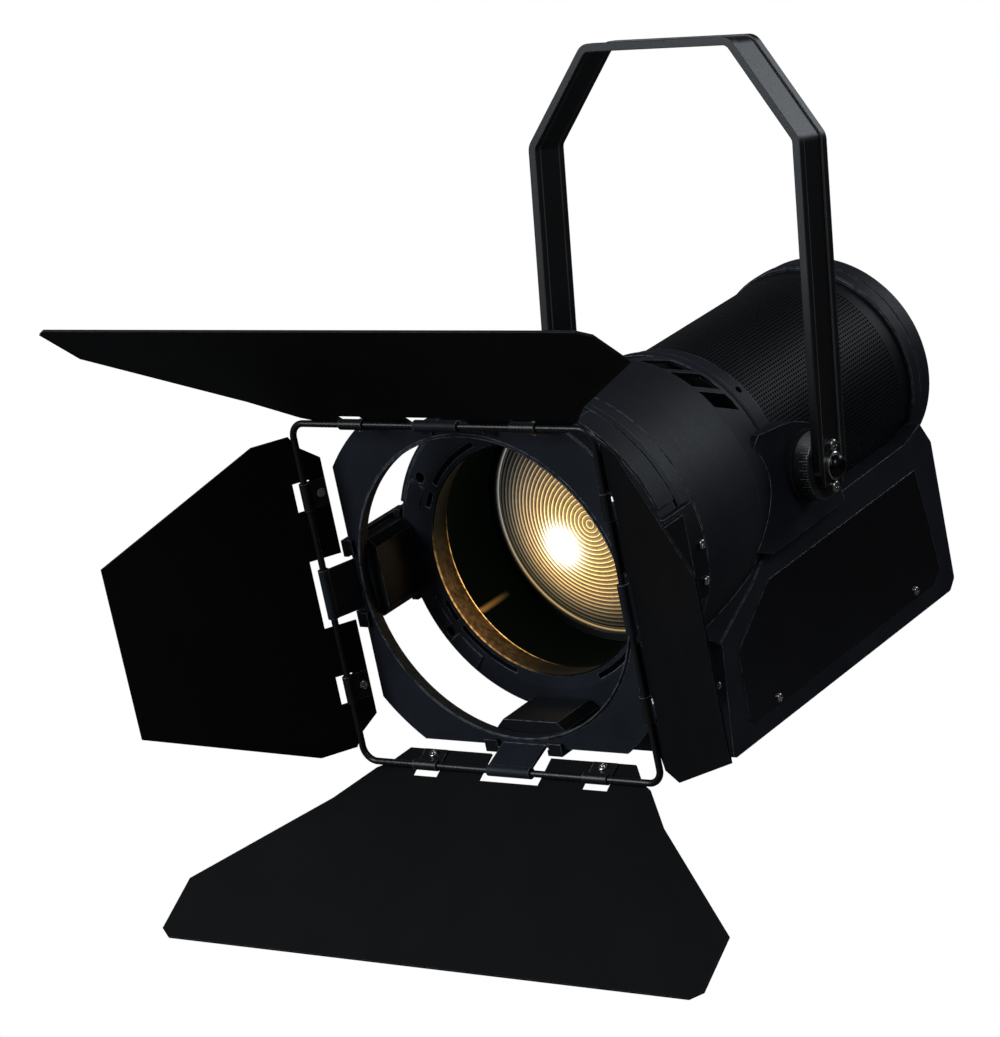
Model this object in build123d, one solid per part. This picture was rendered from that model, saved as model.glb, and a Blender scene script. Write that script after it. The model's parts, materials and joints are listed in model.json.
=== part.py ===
"""Fresnel spotlight with a four-leaf barndoor, hung from a yoke (millimetres, +Z up).

The origin is the centre of the yoke's top mounting hole.  The lamp looks along -Y, with the
scale disc on its +X side.  Everything that tilts is
drawn in the lamp frame (origin at the centre of the barndoor's wire square, optical axis along
Y, front at -Y) and is then put on the yoke's pivot, nose down by REST_TILT.
"""
from build123d import *
from math import atan2, cos, degrees, pi, radians, sin, tan
import os

# ---------------------------------------------------------------- driving dimensions
FIT_GAP = 0.06            # radial play of a shaft in its hole
SEAT_GAP = 0.1            # space between flat faces that sit on each other

# yoke
YOKE_HALF = 97.5          # centre plane to the outer face of an arm
YOKE_WIDTH = 30.0         # strap width
YOKE_THICK = 5.0          # strap thickness
PIVOT_DROP = 253.0        # mounting hole down to the tilt pivot
ARM_RISE = 195.0          # pivot up to the lower bend
TOP_HALF = 53.0           # half length of the straight top bar
BEND_RADIUS = 10.0        # outside of each bend
HOLE_RADIUS = 6.5         # top hole for an M12 clamp bolt
CHANNEL_WIDTH = 19.0      # shallow channel along the strap's outer face
CHANNEL_DEPTH = 1.0

# lamp frame
WIRE_SIDE = 210.0         # barndoor wire square, centre line to centre line
WIRE_RADIUS = 2.0
PIVOT_Y = 235.0           # wire plane back to the tilt pivot
PIVOT_Z = -5.0            # optical axis down to the tilt pivot
REST_TILT = 12.0          # nose-down angle at rest

PIVOT_RADIUS = 6.0
CHEEK_FACE = 78.0         # centre plane to the outer face of a pivot cheek
DISC_RADIUS = 20.6
WASHER_RADIUS = 21.8
WASHER_THICK = 3.4
DISC_SCREW_STEP = 12.4    # pivot to each screw that holds a disc to its arm

# front of the lamp
BEZEL_FRONT = 61.2
BEZEL_BACK = 88.0
BEZEL_RADIUS = 95.4
APERTURE_RADIUS = 70.7
TUBE_FRONT = 78.8
TUBE_BACK = 150.0
TUBE_RADIUS = 77.0        # inside of the lens tube
DRUM_BACK = 209.0
SCREEN_RADIUS = 69.0
SCREEN_BACK = 385.5
CAP_FRONT = 377.5
CAP_BACK = 403.0
CAP_RADIUS = 71.6
CAP_BACK_RADIUS = 68.6
WALL = 2.5

# focusing lens
LENS_FRONT = 127.0        # front face of the lens rim with the lens at rest
LENS_RADIUS = 74.6
ROD_CIRCLE = 60.0         # guide rods and focus screw about the optical axis
ROD_RADIUS = 3.0
SCREW_RADIUS = 4.0
FLANGE_FRONT = 183.0
DECK_FRONT = 204.5

# electronics box under the lamp
BOX_HALF = 71.6
PANEL_HALF = 64.0         # rear control panel
PANEL_TOP = -77.0
PANEL_BOTTOM = -138.0
BOX_BACK = 386.5

# barndoor
RING_PLANE = 18.2         # front face of the ring plate
RING_THICK = 2.0
RING_HOLE = 92.8
RING_HALF = 97.0          # centre to each flat side of the ring plate
RING_CORNER = 120.6       # radius that trims the plate's corners
LEAF_THICK = 1.4
LEAF_SETBACK = WIRE_RADIUS + 0.4
STRIP = 13.3              # strip of each leaf inside the wire
TAB_HALF = 15.0           # half width of the ring's tabs
SLOT_HALF = 21.0          # half width of the leaf's centre slot
CLIP_CENTRE = 60.0        # middle of a leaf to the middle of each clip
CLIP_WIDTH = 16.4
LEAF_NAMES = ("right", "top", "left", "bottom")
LEAF_TURN = {"right": 0.0, "top": 90.0, "left": 180.0, "bottom": 270.0}
LEAF_OPEN = {"right": 37.0, "top": 49.0, "left": 55.0, "bottom": 61.5}
LEAF_LENGTH = {"right": 125.5, "top": 133.5, "left": 125.5, "bottom": 133.5}

PARTS = "parts"


# ---------------------------------------------------------------- shape helpers
def box_between(low, high):
    """Box with the two given opposite corners."""
    size = [b - a for a, b in zip(low, high)]
    middle = [(a + b) / 2 for a, b in zip(low, high)]
    return Pos(*middle) * Box(*size)


def rod_x(radius, x_start, x_end, y=0.0, z=0.0):
    """Cylinder along X."""
    return Pos((x_start + x_end) / 2, y, z) * Rot(0, 90, 0) * Cylinder(radius, abs(x_end - x_start))


def rod_y(radius, y_start, y_end, x=0.0, z=0.0):
    """Cylinder along Y."""
    return Pos(x, (y_start + y_end) / 2, z) * Rot(90, 0, 0) * Cylinder(radius, abs(y_end - y_start))


def turned(points):
    """Solid of revolution about the optical axis from (radius, y) points."""
    return revolve(make_face(Polyline(*points, close=True)), axis=Axis.Y)


def tube_y(inner, outer, y_start, y_end):
    return turned([(inner, y_start), (outer, y_start), (outer, y_end), (inner, y_end)])


def about_axis(shape, angle):
    """Turns a lamp-frame shape about the optical axis, from +X towards +Z."""
    return Rot(0, -angle, 0) * shape


def on_circle(radius, angle):
    return radius * cos(radians(angle)), radius * sin(radians(angle))


def wedge(angle_start, angle_end, y_start, y_end, reach=130.0):
    """Pie slice about the optical axis, for cutting out part of a ring."""
    steps = 6
    angles = [angle_start + (angle_end - angle_start) * i / steps for i in range(steps + 1)]
    rim = [on_circle(reach, angle) for angle in angles]
    outline = make_face(Polyline((0, 0), *rim, close=True))
    return Plane(origin=(0, y_end, 0), x_dir=(1, 0, 0), z_dir=(0, -1, 0)) * extrude(
        outline, amount=y_end - y_start
    )


def side_prism(points, x_start, x_end):
    """Prism along X from a (y, z) outline."""
    face = Plane.YZ * make_face(Polyline(*points, close=True))
    return Pos(x_start, 0, 0) * extrude(face, amount=x_end - x_start)


def joined(shapes):
    """One solid from shapes that overlap or share faces."""
    first, *rest = shapes
    for shape in rest:
        first = first + shape
    return first


def tilted(shape):
    """From the lamp frame to the part's frame, at the rest tilt."""
    return Pos(0, 0, -PIVOT_DROP) * Rot(REST_TILT, 0, 0) * Pos(0, -PIVOT_Y, -PIVOT_Z) * shape


def save(name, shape):
    solids = shape.solids()
    whole = solids[0] if len(solids) == 1 else Compound(children=list(solids))
    export_step(whole, f"{PARTS}/{name}.step")


def save_tilted(name, shape):
    save(name, tilted(shape))


# ---------------------------------------------------------------- yoke
def yoke_area(inset):
    """Face filled by the U, moved inwards from the strap's outer face, with rounded bends."""
    half = YOKE_HALF - inset
    top = YOKE_THICK / 2 - inset
    lower = -PIVOT_DROP + ARM_RISE - inset * tan(pi / 12)
    upper = TOP_HALF - inset * tan(pi / 8)
    foot = -PIVOT_DROP - YOKE_WIDTH
    right = [(half, foot), (half, lower), (upper, top)]
    left = [(-x, z) for x, z in reversed(right)]
    area = make_face(Polyline(*right, *left, close=True))
    bends = [v for v in area.vertices() if v.Y > foot + 1]
    return fillet(bends, BEND_RADIUS - inset)


def yoke_band(inset_out, inset_in, width):
    """U-shaped strap between two offsets from its outer face."""
    band = Plane.XZ * (yoke_area(inset_out) - yoke_area(inset_in))
    return Pos(0, width / 2, 0) * extrude(band, amount=width)


def yoke():
    strap = yoke_band(0, YOKE_THICK, YOKE_WIDTH)
    strap -= yoke_band(-1, CHANNEL_DEPTH, CHANNEL_WIDTH)
    # the ends of the arms are half rounds about the pivot
    trim = box_between((-200, -60, -PIVOT_DROP - 60), (200, 60, -PIVOT_DROP))
    trim -= rod_x(YOKE_WIDTH / 2, -210, 210, 0, -PIVOT_DROP)
    strap -= trim
    # round seats for the pivot hardware fill the channel again
    for side in (-1, 1):
        pad = rod_x(YOKE_WIDTH / 2, side * (YOKE_HALF - CHANNEL_DEPTH), side * YOKE_HALF, 0, -PIVOT_DROP)
        strap += pad
    strap -= rod_x(PIVOT_RADIUS + FIT_GAP, -110, 110, 0, -PIVOT_DROP)
    for step in (-DISC_SCREW_STEP, DISC_SCREW_STEP):
        strap -= rod_x(2.05, -110, 110, 0, -PIVOT_DROP + step)
    strap -= Cylinder(HOLE_RADIUS, 20)
    return strap


def scale_disc(side):
    """Thick disc between the arm and the lamp; it stays with the yoke."""
    inner = CHEEK_FACE + WASHER_THICK + SEAT_GAP
    outer = YOKE_HALF - YOKE_THICK
    disc = rod_x(DISC_RADIUS, inner, outer, 0, -PIVOT_DROP)
    rim = [e for e in disc.edges() if e.geom_type == GeomType.CIRCLE]
    disc = fillet(rim, 1.5)
    disc -= rod_x(PIVOT_RADIUS + FIT_GAP, inner - 1, outer + 1, 0, -PIVOT_DROP)
    for step in (-DISC_SCREW_STEP, DISC_SCREW_STEP):
        disc -= rod_x(2.05, outer - 10, outer + 1, 0, -PIVOT_DROP + step)
    return disc if side > 0 else mirror(disc, about=Plane.YZ)


def cross_screw(head_radius, head_height, shank_radius, shank_length):
    """Pan-head cross-recess screw along +X, head's seat at x = 0."""
    head = rod_x(head_radius, 0, head_height)
    edge = head.edges().filter_by(GeomType.CIRCLE).sort_by(Axis.X)[-1]
    head = fillet(edge, head_height * 0.6)
    reach = head_radius * 0.6
    recess = box_between((head_height - 0.9, -0.4, -reach), (head_height + 1, 0.4, reach))
    head -= recess
    head -= Rot(90, 0, 0) * recess
    return head + rod_x(shank_radius, -shank_length, 0.01)


def disc_screws():
    screw = cross_screw(3.6, 2.2, 2.0, 14.0)
    group = []
    for side in (0, 180):
        for step in (-DISC_SCREW_STEP, DISC_SCREW_STEP):
            group.append(Pos(0, 0, -PIVOT_DROP + step) * Rot(0, 0, side) * Pos(YOKE_HALF, 0, 0) * screw)
    return Compound(children=group)


# ---------------------------------------------------------------- pivots
def pivot_bolt():
    """Domed bolt on the right: turns with the lamp, inside the disc and the arm."""
    shaft = rod_x(PIVOT_RADIUS, 70.5, YOKE_HALF + 0.3, PIVOT_Y, PIVOT_Z)
    ring = rod_x(8.6, YOKE_HALF + 0.2, YOKE_HALF + 2.4, PIVOT_Y, PIVOT_Z)
    ring = chamfer(ring.edges().filter_by(GeomType.CIRCLE).sort_by(Axis.X)[-1], 0.6)
    dome_height = 4.6
    dome = rod_x(7.2, YOKE_HALF + 2.0, YOKE_HALF + 2.0 + dome_height, PIVOT_Y, PIVOT_Z)
    dome = fillet(dome.edges().filter_by(GeomType.CIRCLE).sort_by(Axis.X)[-1], dome_height - 0.4)
    return shaft + ring + dome


def pivot_stud():
    """Threaded stud on the left, with a collar outside the arm, for the lock knob."""
    shaft = rod_x(PIVOT_RADIUS, -70.5, -YOKE_HALF - 0.3, PIVOT_Y, PIVOT_Z)
    collar = rod_x(8.4, -YOKE_HALF - 0.2, -YOKE_HALF - 2.2, PIVOT_Y, PIVOT_Z)
    thread = rod_x(5.0, -YOKE_HALF - 2.0, -YOKE_HALF - 16.0, PIVOT_Y, PIVOT_Z)
    return shaft + collar + thread


def friction_washers():
    washer = rod_x(WASHER_RADIUS, CHEEK_FACE, CHEEK_FACE + WASHER_THICK, PIVOT_Y, PIVOT_Z)
    washer -= rod_x(PIVOT_RADIUS + 0.3, CHEEK_FACE - 1, CHEEK_FACE + WASHER_THICK + 1, PIVOT_Y, PIVOT_Z)
    return Compound(children=[washer, mirror(washer, about=Plane.YZ)])


def tilt_lock_knob():
    """Six-lobed hand knob on the stud."""
    inner = YOKE_HALF + 2.4
    knob = rod_x(17.5, -inner - 6, -inner - 22, PIVOT_Y, PIVOT_Z)
    for lobe in range(6):
        y, z = on_circle(15.5, 60 * lobe)
        knob += rod_x(5.5, -inner - 6, -inner - 22, PIVOT_Y + y, PIVOT_Z + z)
    knob += rod_x(10, -inner, -inner - 7, PIVOT_Y, PIVOT_Z)
    knob -= rod_x(5.0 + FIT_GAP, -inner + 1, -inner - 14.5, PIVOT_Y, PIVOT_Z)
    return knob


# ---------------------------------------------------------------- front of the lamp
LINER_WALL = 0.9
FACE_SLOTS = ((24.0, 32.0), (36.5, 69.0), (-31.5, -21.5), (-67.5, -35.0))   # arc slots in the face
FACE_HOLES = (34.5, -33.2)                                                  # screw holes between them
FACE_PADS = ((21.0, 31.5), (-31.0, -18.0), (-50.0, -36.0))                  # raised flats in the face


def both_flanks(shape):
    return [shape, mirror(shape, about=Plane.YZ)]


def front_bezel():
    """Ring round the opening: sloping face with slots, holes and flats, and a grooved rim."""
    inner = APERTURE_RADIUS + LINER_WALL + SEAT_GAP
    inner_back = inner + 4.0
    seat = TUBE_FRONT - SEAT_GAP
    skirt = BEZEL_RADIUS - 3.5
    groove = 2.4
    points = [
        (inner, BEZEL_FRONT), (80.0, BEZEL_FRONT), (BEZEL_RADIUS - 1.5, BEZEL_FRONT + 1.6),
        (BEZEL_RADIUS, BEZEL_FRONT + 3.2), (BEZEL_RADIUS, 80.4), (BEZEL_RADIUS - groove, 80.6),
        (BEZEL_RADIUS - groove, 83.2), (BEZEL_RADIUS, 83.4), (BEZEL_RADIUS, BEZEL_BACK),
        (skirt, BEZEL_BACK), (skirt, BEZEL_FRONT + 8), (79.4, BEZEL_FRONT + 8), (79.4, seat),
        (inner_back, seat),
    ]
    bezel = turned(points)
    slot_ring = tube_y(74.4, 77.6, BEZEL_FRONT - 1, BEZEL_FRONT + 5)
    for start, end in FACE_SLOTS:
        for cut in both_flanks(slot_ring & wedge(start, end, BEZEL_FRONT - 2, BEZEL_FRONT + 6)):
            bezel -= cut
    for angle in FACE_HOLES:
        x, z = on_circle(86.5, angle)
        for cut in both_flanks(rod_y(3.4, BEZEL_FRONT - 1, BEZEL_FRONT + 6, x, z)):
            bezel -= cut
    pad_ring = tube_y(81.5, 91.5, BEZEL_FRONT - 0.6, BEZEL_FRONT + 4)
    for start, end in FACE_PADS:
        for pad in both_flanks(pad_ring & wedge(start, end, BEZEL_FRONT - 2, BEZEL_FRONT + 6)):
            bezel += pad
    # raised arc plates on the upper flanks of the rim, in front of the groove
    plate = tube_y(BEZEL_RADIUS - 0.5, BEZEL_RADIUS + 1.8, BEZEL_FRONT + 3.4, 80.0)
    for raised in both_flanks(plate & wedge(20, 62, BEZEL_FRONT, 82)):
        bezel += raised
    return bezel


def opening_liner():
    """Bright ring inside the opening, slightly wider at the back."""
    front = BEZEL_FRONT - 0.4
    seat = TUBE_FRONT - SEAT_GAP
    return turned([
        (APERTURE_RADIUS, front), (APERTURE_RADIUS + LINER_WALL, front),
        (APERTURE_RADIUS + LINER_WALL + 4.0, seat), (73.3, seat),
    ])


def lens_tube():
    outer = TUBE_RADIUS + 1.5
    return turned([
        (73.3, TUBE_FRONT), (outer + 0.7, TUBE_FRONT), (outer + 0.7, TUBE_FRONT + 1.5),
        (outer, TUBE_FRONT + 1.5), (outer, TUBE_BACK), (TUBE_RADIUS, TUBE_BACK),
        (TUBE_RADIUS, TUBE_FRONT + 1.5), (73.3, TUBE_FRONT + 1.5),
    ])


def drum_outline(inset):
    """Outer line of the drum in (radius, y), moved inwards by inset."""
    front = BEZEL_BACK + 0.2
    line = [(94.8, front), (93.8, 98.4), (93.1, 99.0), (93.7, 99.6)]
    line += [(92.6, 115), (90.9, 132), (88.7, 149), (86.0, 166), (85.2, 171), (83.8, 173)]
    line += [(74.8, 204), (75.2, 206), (75.2, DRUM_BACK)]
    if inset:
        line = [(radius - inset, y) for radius, y in line if not 98.5 < y < 99.5]
    return line


VENT_WINDOWS = ((41.5, 4.7), (55.2, 5.8), (70.4, 6.5))     # centre and half width, degrees
VENT_LEAN = 3.0
VENT_FRONT = 174.5
VENT_BACK = 200.5


def vent_cutter(half, lean):
    """Window through the rear band at angle 0; its front end leans up by lean degrees."""
    front_radius = 82.0
    rear_radius = 77.0
    front_mid = radians(lean) * front_radius
    rear_mid = -radians(lean) * rear_radius
    front_half = radians(half) * front_radius
    rear_half = radians(half) * rear_radius
    window = [(VENT_FRONT, front_mid - front_half), (VENT_FRONT, front_mid + front_half)]
    window += [(VENT_BACK, rear_mid + rear_half), (VENT_BACK, rear_mid - rear_half)]
    plane = Plane(origin=(60, 0, 0), x_dir=(0, 1, 0), z_dir=(1, 0, 0))
    return plane * extrude(make_face(Polyline(*window, close=True)), amount=40)


def drum_housing():
    drum = turned(drum_outline(0) + drum_outline(WALL)[::-1])
    # slanted vent windows in the rear band, three on each shoulder and a straight one on top
    for centre, half in VENT_WINDOWS:
        cut = about_axis(vent_cutter(half, VENT_LEAN), centre)
        for window in both_flanks(cut):
            drum -= window
    drum -= about_axis(vent_cutter(7.0, 0.0), 90)
    return drum


def drum_collar():
    """Dark collar that holds the front end of the perforated screen."""
    collar = tube_y(SCREEN_RADIUS + 0.2, 72.2, DRUM_BACK + 0.2, 222)
    for angle in (42.5, 137.5):
        hole = rod_x(2.4, 60, 80, 217, 0)
        collar -= about_axis(hole, angle)
    return collar


# ---------------------------------------------------------------- accessory holder
def lug():
    """Accessory lug on the right-hand side: saddle, forward block and two front lips."""
    saddle = tube_y(BEZEL_RADIUS + SEAT_GAP, 99.6, BEZEL_FRONT, 90.5)
    saddle &= box_between((80, BEZEL_FRONT, -29), (110, 95, 28))
    saddle -= box_between((98.4, 67, -30), (110, 70.5, 30))
    outer_wall = box_between((RING_HALF + 0.6, RING_PLANE - 2.4, -27), (101.0, BEZEL_FRONT + 12, 27))
    slab = box_between((85, 26.8, -24), (RING_HALF + 1.0, BEZEL_FRONT - SEAT_GAP - 0.6, 24))
    slab = chamfer(slab.edges().filter_by(Axis.Y).sort_by(Axis.X)[:2], 5)
    lips = []
    for side in (-1, 1):
        low = (RING_HALF - 3.5, RING_PLANE - 2.4, min(18 * side, 27 * side))
        high = (101.0, RING_PLANE - 0.4, max(18 * side, 27 * side))
        lips.append(box_between(low, high))
    body = saddle + outer_wall + slab + lips[0] + lips[1]
    # room for the ring plate's edge and for the tab that goes forward to the wire
    body -= box_between((90, RING_PLANE - 4, -TAB_HALF - 2), (110, 26.2, TAB_HALF + 2))
    body -= turned([(60, BEZEL_FRONT - SEAT_GAP), (BEZEL_RADIUS + SEAT_GAP, BEZEL_FRONT - SEAT_GAP),
                    (BEZEL_RADIUS + SEAT_GAP, 95), (60, 95)])
    for angle in (2.3, -10.4):
        body -= about_axis(rod_x(1.55, 90, 110, 86.2, 0), angle)
    return body


LUG_TURN = {"right": 0.0, "left": 180.0, "bottom": 270.0}


def lug_screws():
    """Two pan-head screws in the saddle of each lug."""
    screw = cross_screw(2.8, 1.8, 1.5, 3.8)
    group = []
    for turn in LUG_TURN.values():
        for angle in (2.3, -10.4):
            group.append(about_axis(Pos(99.7, 86.2, 0) * screw, turn + angle))
    return Compound(children=group)


LATCH_Y = 84.0
LATCH_Z = 101.6


def top_latch():
    """Lever over the top of the bezel that holds the barndoor's upper edge."""
    arm = box_between((-26, RING_PLANE - 2.4, RING_HALF + 1.0), (26, LATCH_Y - 5, RING_HALF + 3.4))
    knuckle = rod_x(3.6, -14, 14, LATCH_Y, LATCH_Z)
    link = box_between((-14, LATCH_Y - 10, LATCH_Z - 3.2), (14, LATCH_Y, LATCH_Z - 0.4))
    grip = box_between((-12, 46, RING_HALF + 3.2), (12, 50, RING_HALF + 9))
    lips = []
    for side in (-1, 1):
        low = (min(18 * side, 26 * side), RING_PLANE - 2.4, RING_HALF - 3.5)
        high = (max(18 * side, 26 * side), RING_PLANE - 0.4, RING_HALF + 2)
        lips.append(box_between(low, high))
    latch = arm + link + knuckle + grip + lips[0] + lips[1]
    latch -= box_between((-TAB_HALF - 2, RING_PLANE - 5, 80), (TAB_HALF + 2, RING_PLANE + 8, 110))
    latch -= rod_x(1.5 + FIT_GAP, -40, 40, LATCH_Y, LATCH_Z)
    return latch


def latch_hinge():
    """Two ears on top of the bezel and the pin between them."""
    ears = []
    for side in (-1, 1):
        low = (min(15 * side, 19 * side), LATCH_Y - 4, BEZEL_RADIUS - 3.2)
        high = (max(15 * side, 19 * side), LATCH_Y + 4, LATCH_Z + 3.4)
        ears.append(box_between(low, high))
    body = ears[0] + ears[1] + rod_x(1.5, -19, 19, LATCH_Y, LATCH_Z)
    return body - rod_y(BEZEL_RADIUS - 0.6, 60, 95)


# ---------------------------------------------------------------- barndoor
def barndoor_ring():
    """Plate with a round hole, a rolled lip, a short collar and four tabs round the wire."""
    plate = box_between((-RING_HALF, RING_PLANE, -RING_HALF), (RING_HALF, RING_PLANE + RING_THICK, RING_HALF))
    plate &= rod_y(RING_CORNER, RING_PLANE - 1, RING_PLANE + 4)
    plate -= rod_y(RING_HOLE, RING_PLANE - 5, RING_PLANE + 10)
    plate += turned([
        (RING_HOLE - 1.2, RING_PLANE - 0.8), (RING_HOLE - 0.4, RING_PLANE - 1.2),
        (RING_HOLE + 0.8, RING_PLANE), (RING_HOLE + 0.8, RING_PLANE + 6.4),
        (RING_HOLE - 0.7, RING_PLANE + 6.4), (RING_HOLE - 1.2, RING_PLANE + 0.6),
    ])
    half = WIRE_SIDE / 2
    curl = WIRE_RADIUS + FIT_GAP
    shell = curl + 1.3
    # the tab leaves the plate's edge and meets the curl on its inner back side
    foot_x = RING_HALF - 1.5
    web = make_face(Polyline(
        (foot_x, RING_PLANE + 0.8), (foot_x, RING_PLANE - 1.0), (half - shell + 0.2, 0.6),
        (half - curl + 0.2, 1.8), (foot_x + 1.5, RING_PLANE + 0.8), close=True,
    ))
    tab = Pos(0, 0, -TAB_HALF) * extrude(web, amount=2 * TAB_HALF)
    tab += Pos(half, 0, 0) * Cylinder(shell, 2 * TAB_HALF)
    tab -= Pos(half, 0, 0) * Cylinder(curl, 2 * TAB_HALF + 2)
    for turn in LEAF_TURN.values():
        plate += about_axis(tab, turn)
    return plate


def barndoor_wire():
    half = WIRE_SIDE / 2
    corners = [(half, half), (-half, half), (-half, -half), (half, -half)]
    bend = 9.0
    path = []
    for i, (x, z) in enumerate(corners):
        following = corners[(i + 1) % 4]
        direction = ((following[0] - x) / WIRE_SIDE, (following[1] - z) / WIRE_SIDE)
        start = (x + direction[0] * bend, z + direction[1] * bend)
        end = (following[0] - direction[0] * bend, following[1] - direction[1] * bend)
        run = Pos((start[0] + end[0]) / 2, 0, (start[1] + end[1]) / 2)
        length = WIRE_SIDE - 2 * bend
        lie = Rot(0, 90, 0) if abs(direction[0]) > 0.5 else Rot(0, 0, 0)
        path.append(run * lie * Cylinder(WIRE_RADIUS, length))
    elbow = revolve(Pos(bend, 0) * Circle(WIRE_RADIUS), axis=Axis.Y, revolution_arc=90)
    for turn in (0, 90, 180, 270):
        corner = Pos(half - bend, 0, half - bend) * Rot(0, -90, 0) * elbow
        path.append(about_axis(corner, turn))
    return joined(path)


def leaf_outline(large, length):
    """Half outline of a leaf as (along the wire, away from the wire)."""
    half = WIRE_SIDE / 2
    root = [(SLOT_HALF, -STRIP), (0.76 * half, -STRIP), (0.85 * half, -1.5), (0.92 * half, 0.02 * length)]
    if large:
        wing = [(1.11 * half, 0.2 * length), (1.80 * half, 0.69 * length), (1.80 * half, 0.96 * length)]
        wing += [(1.73 * half, length)]
    else:
        wing = [(0.92 * half, 0.2 * length), (0.5 * half, length)]
    return root + wing


def leaf(name):
    """Flat leaf lying in its own frame: X outwards from the wire, Z along it, front at -Y."""
    length = LEAF_LENGTH[name]
    half_line = leaf_outline(name in ("top", "bottom"), length)
    upper = [(away, along) for along, away in half_line]
    lower = [(away, -along) for along, away in half_line]
    slot_end = 6.2
    outline = [(slot_end, SLOT_HALF), *upper, *lower[::-1], (slot_end, -SLOT_HALF)]
    face = Plane.XZ * make_face(Polyline(*outline, close=True))
    sheet = Pos(0, LEAF_SETBACK + LEAF_THICK, 0) * extrude(face, amount=LEAF_THICK)
    for side in (-1, 1):
        centre = side * CLIP_CENTRE
        window = (CLIP_WIDTH + 1.2) / 2
        sheet -= box_between((-4.2, 0, centre - window), (6.2, 8, centre + window))
        sheet -= rod_y(1.55, 0, 8, -8.8, centre)
    return sheet


def clips():
    """Pair of clips that wrap the wire and sit on the leaf's strip."""
    curl = WIRE_RADIUS + FIT_GAP
    shell = curl + 1.1
    tongue_top = LEAF_SETBACK - 0.02
    group = []
    for side in (-1, 1):
        centre = side * CLIP_CENTRE
        ring = Pos(0, 0, centre) * Cylinder(shell, CLIP_WIDTH)
        tongue = box_between((-STRIP + 0.6, tongue_top - 1.1, centre - CLIP_WIDTH / 2),
                             (-0.5, tongue_top, centre + CLIP_WIDTH / 2))
        clip = ring + tongue
        clip -= Pos(0, 0, centre) * Cylinder(curl, CLIP_WIDTH + 2)
        clip -= rod_y(1.55, -1, 8, -8.8, centre)
        group.append(clip)
    return Compound(children=group)


def clip_screws():
    """Screw and nut through each clip and strip."""
    seat = LEAF_SETBACK - 1.12
    screw = Rot(0, 0, -90) * cross_screw(2.9, 1.8, 1.5, 6.8)
    back = LEAF_SETBACK + LEAF_THICK + 0.02
    nut = Pos(0, back + 1.1, 0) * Rot(90, 0, 0) * extrude(RegularPolygon(3.0, 6), amount=1.1, both=True)
    group = []
    for side in (-1, 1):
        centre = side * CLIP_CENTRE
        group.append(Pos(-8.8, seat, centre) * screw)
        hollow_nut = nut - rod_y(1.52, back - 1, back + 4)
        group.append(Pos(-8.8, 0, centre) * hollow_nut)
    return Compound(children=group)


def on_leaf_hinge(shape, name):
    """Swings a leaf-frame shape forward to its rest angle and carries it to its side of the wire."""
    swung = Pos(WIRE_SIDE / 2, 0, 0) * Rot(0, 0, -LEAF_OPEN[name]) * shape
    return about_axis(swung, LEAF_TURN[name])


# ---------------------------------------------------------------- lens, light engine and cooling
LENS_DOME = 8.0


def fresnel_lens():
    """Stepped lens: rings that bulge forwards in the middle, flat back."""
    back = LENS_FRONT + 6.0
    rings = 9
    inner_edge = LENS_RADIUS - 3.0
    points = [(0, back), (LENS_RADIUS, back), (LENS_RADIUS, LENS_FRONT), (inner_edge, LENS_FRONT)]
    step = inner_edge / rings

    def dome(radius):
        return LENS_FRONT - LENS_DOME * (1 - (radius / inner_edge) ** 2)

    for i in range(rings):
        outer = inner_edge - i * step
        inner = outer - step
        points.append((outer, dome(outer) + 1.8))
        if i < rings - 1:
            points.append((inner + 0.01, dome(inner)))
    points.append((0, dome(0)))
    return turned(points)


ROD_ANGLES = (30.0, 150.0)
SCREW_ANGLE = 270.0


def lens_carriage():
    """Lens cell, three legs and a rear flange that runs on the rods and the focus screw."""
    cell_out = TUBE_RADIUS - 0.6
    cell = turned([
        (71.6, LENS_FRONT - 1.6), (cell_out, LENS_FRONT - 1.6), (cell_out, LENS_FRONT + 9.6),
        (69.0, LENS_FRONT + 9.6), (69.0, LENS_FRONT + 6.1), (LENS_RADIUS + 0.1, LENS_FRONT + 6.1),
        (LENS_RADIUS + 0.1, LENS_FRONT - 0.1), (71.6, LENS_FRONT - 0.1),
    ])
    flange = tube_y(52, 68.5, FLANGE_FRONT, FLANGE_FRONT + 8)
    leg = box_between((65.0, LENS_FRONT + 8.6, -5), (68.0, FLANGE_FRONT + 1, 5))
    shelf = box_between((65.0, LENS_FRONT + 6.4, -5), (72.0, LENS_FRONT + 9.4, 5))
    carriage = cell + flange
    for angle in (90, 210, 330):
        carriage += about_axis(leg, angle)
        carriage += about_axis(shelf, angle)
    for angle in ROD_ANGLES:
        x, z = on_circle(ROD_CIRCLE, angle)
        carriage -= rod_y(ROD_RADIUS + FIT_GAP, 170, 200, x, z)
    x, z = on_circle(ROD_CIRCLE, SCREW_ANGLE)
    carriage -= rod_y(SCREW_RADIUS + FIT_GAP, 170, 200, x, z)
    return carriage


def guide_rods():
    group = []
    for angle in ROD_ANGLES:
        x, z = on_circle(ROD_CIRCLE, angle)
        group.append(rod_y(ROD_RADIUS, 147.5, DECK_FRONT + 3, x, z))
    return Compound(children=group)


def focus_screw():
    x, z = on_circle(ROD_CIRCLE, SCREW_ANGLE)
    screw = rod_y(SCREW_RADIUS, 147.5, CAP_BACK - 6, x, z)
    screw += rod_y(3.0, CAP_BACK - 6.5, CAP_BACK + 12, x, z)
    return screw


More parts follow.
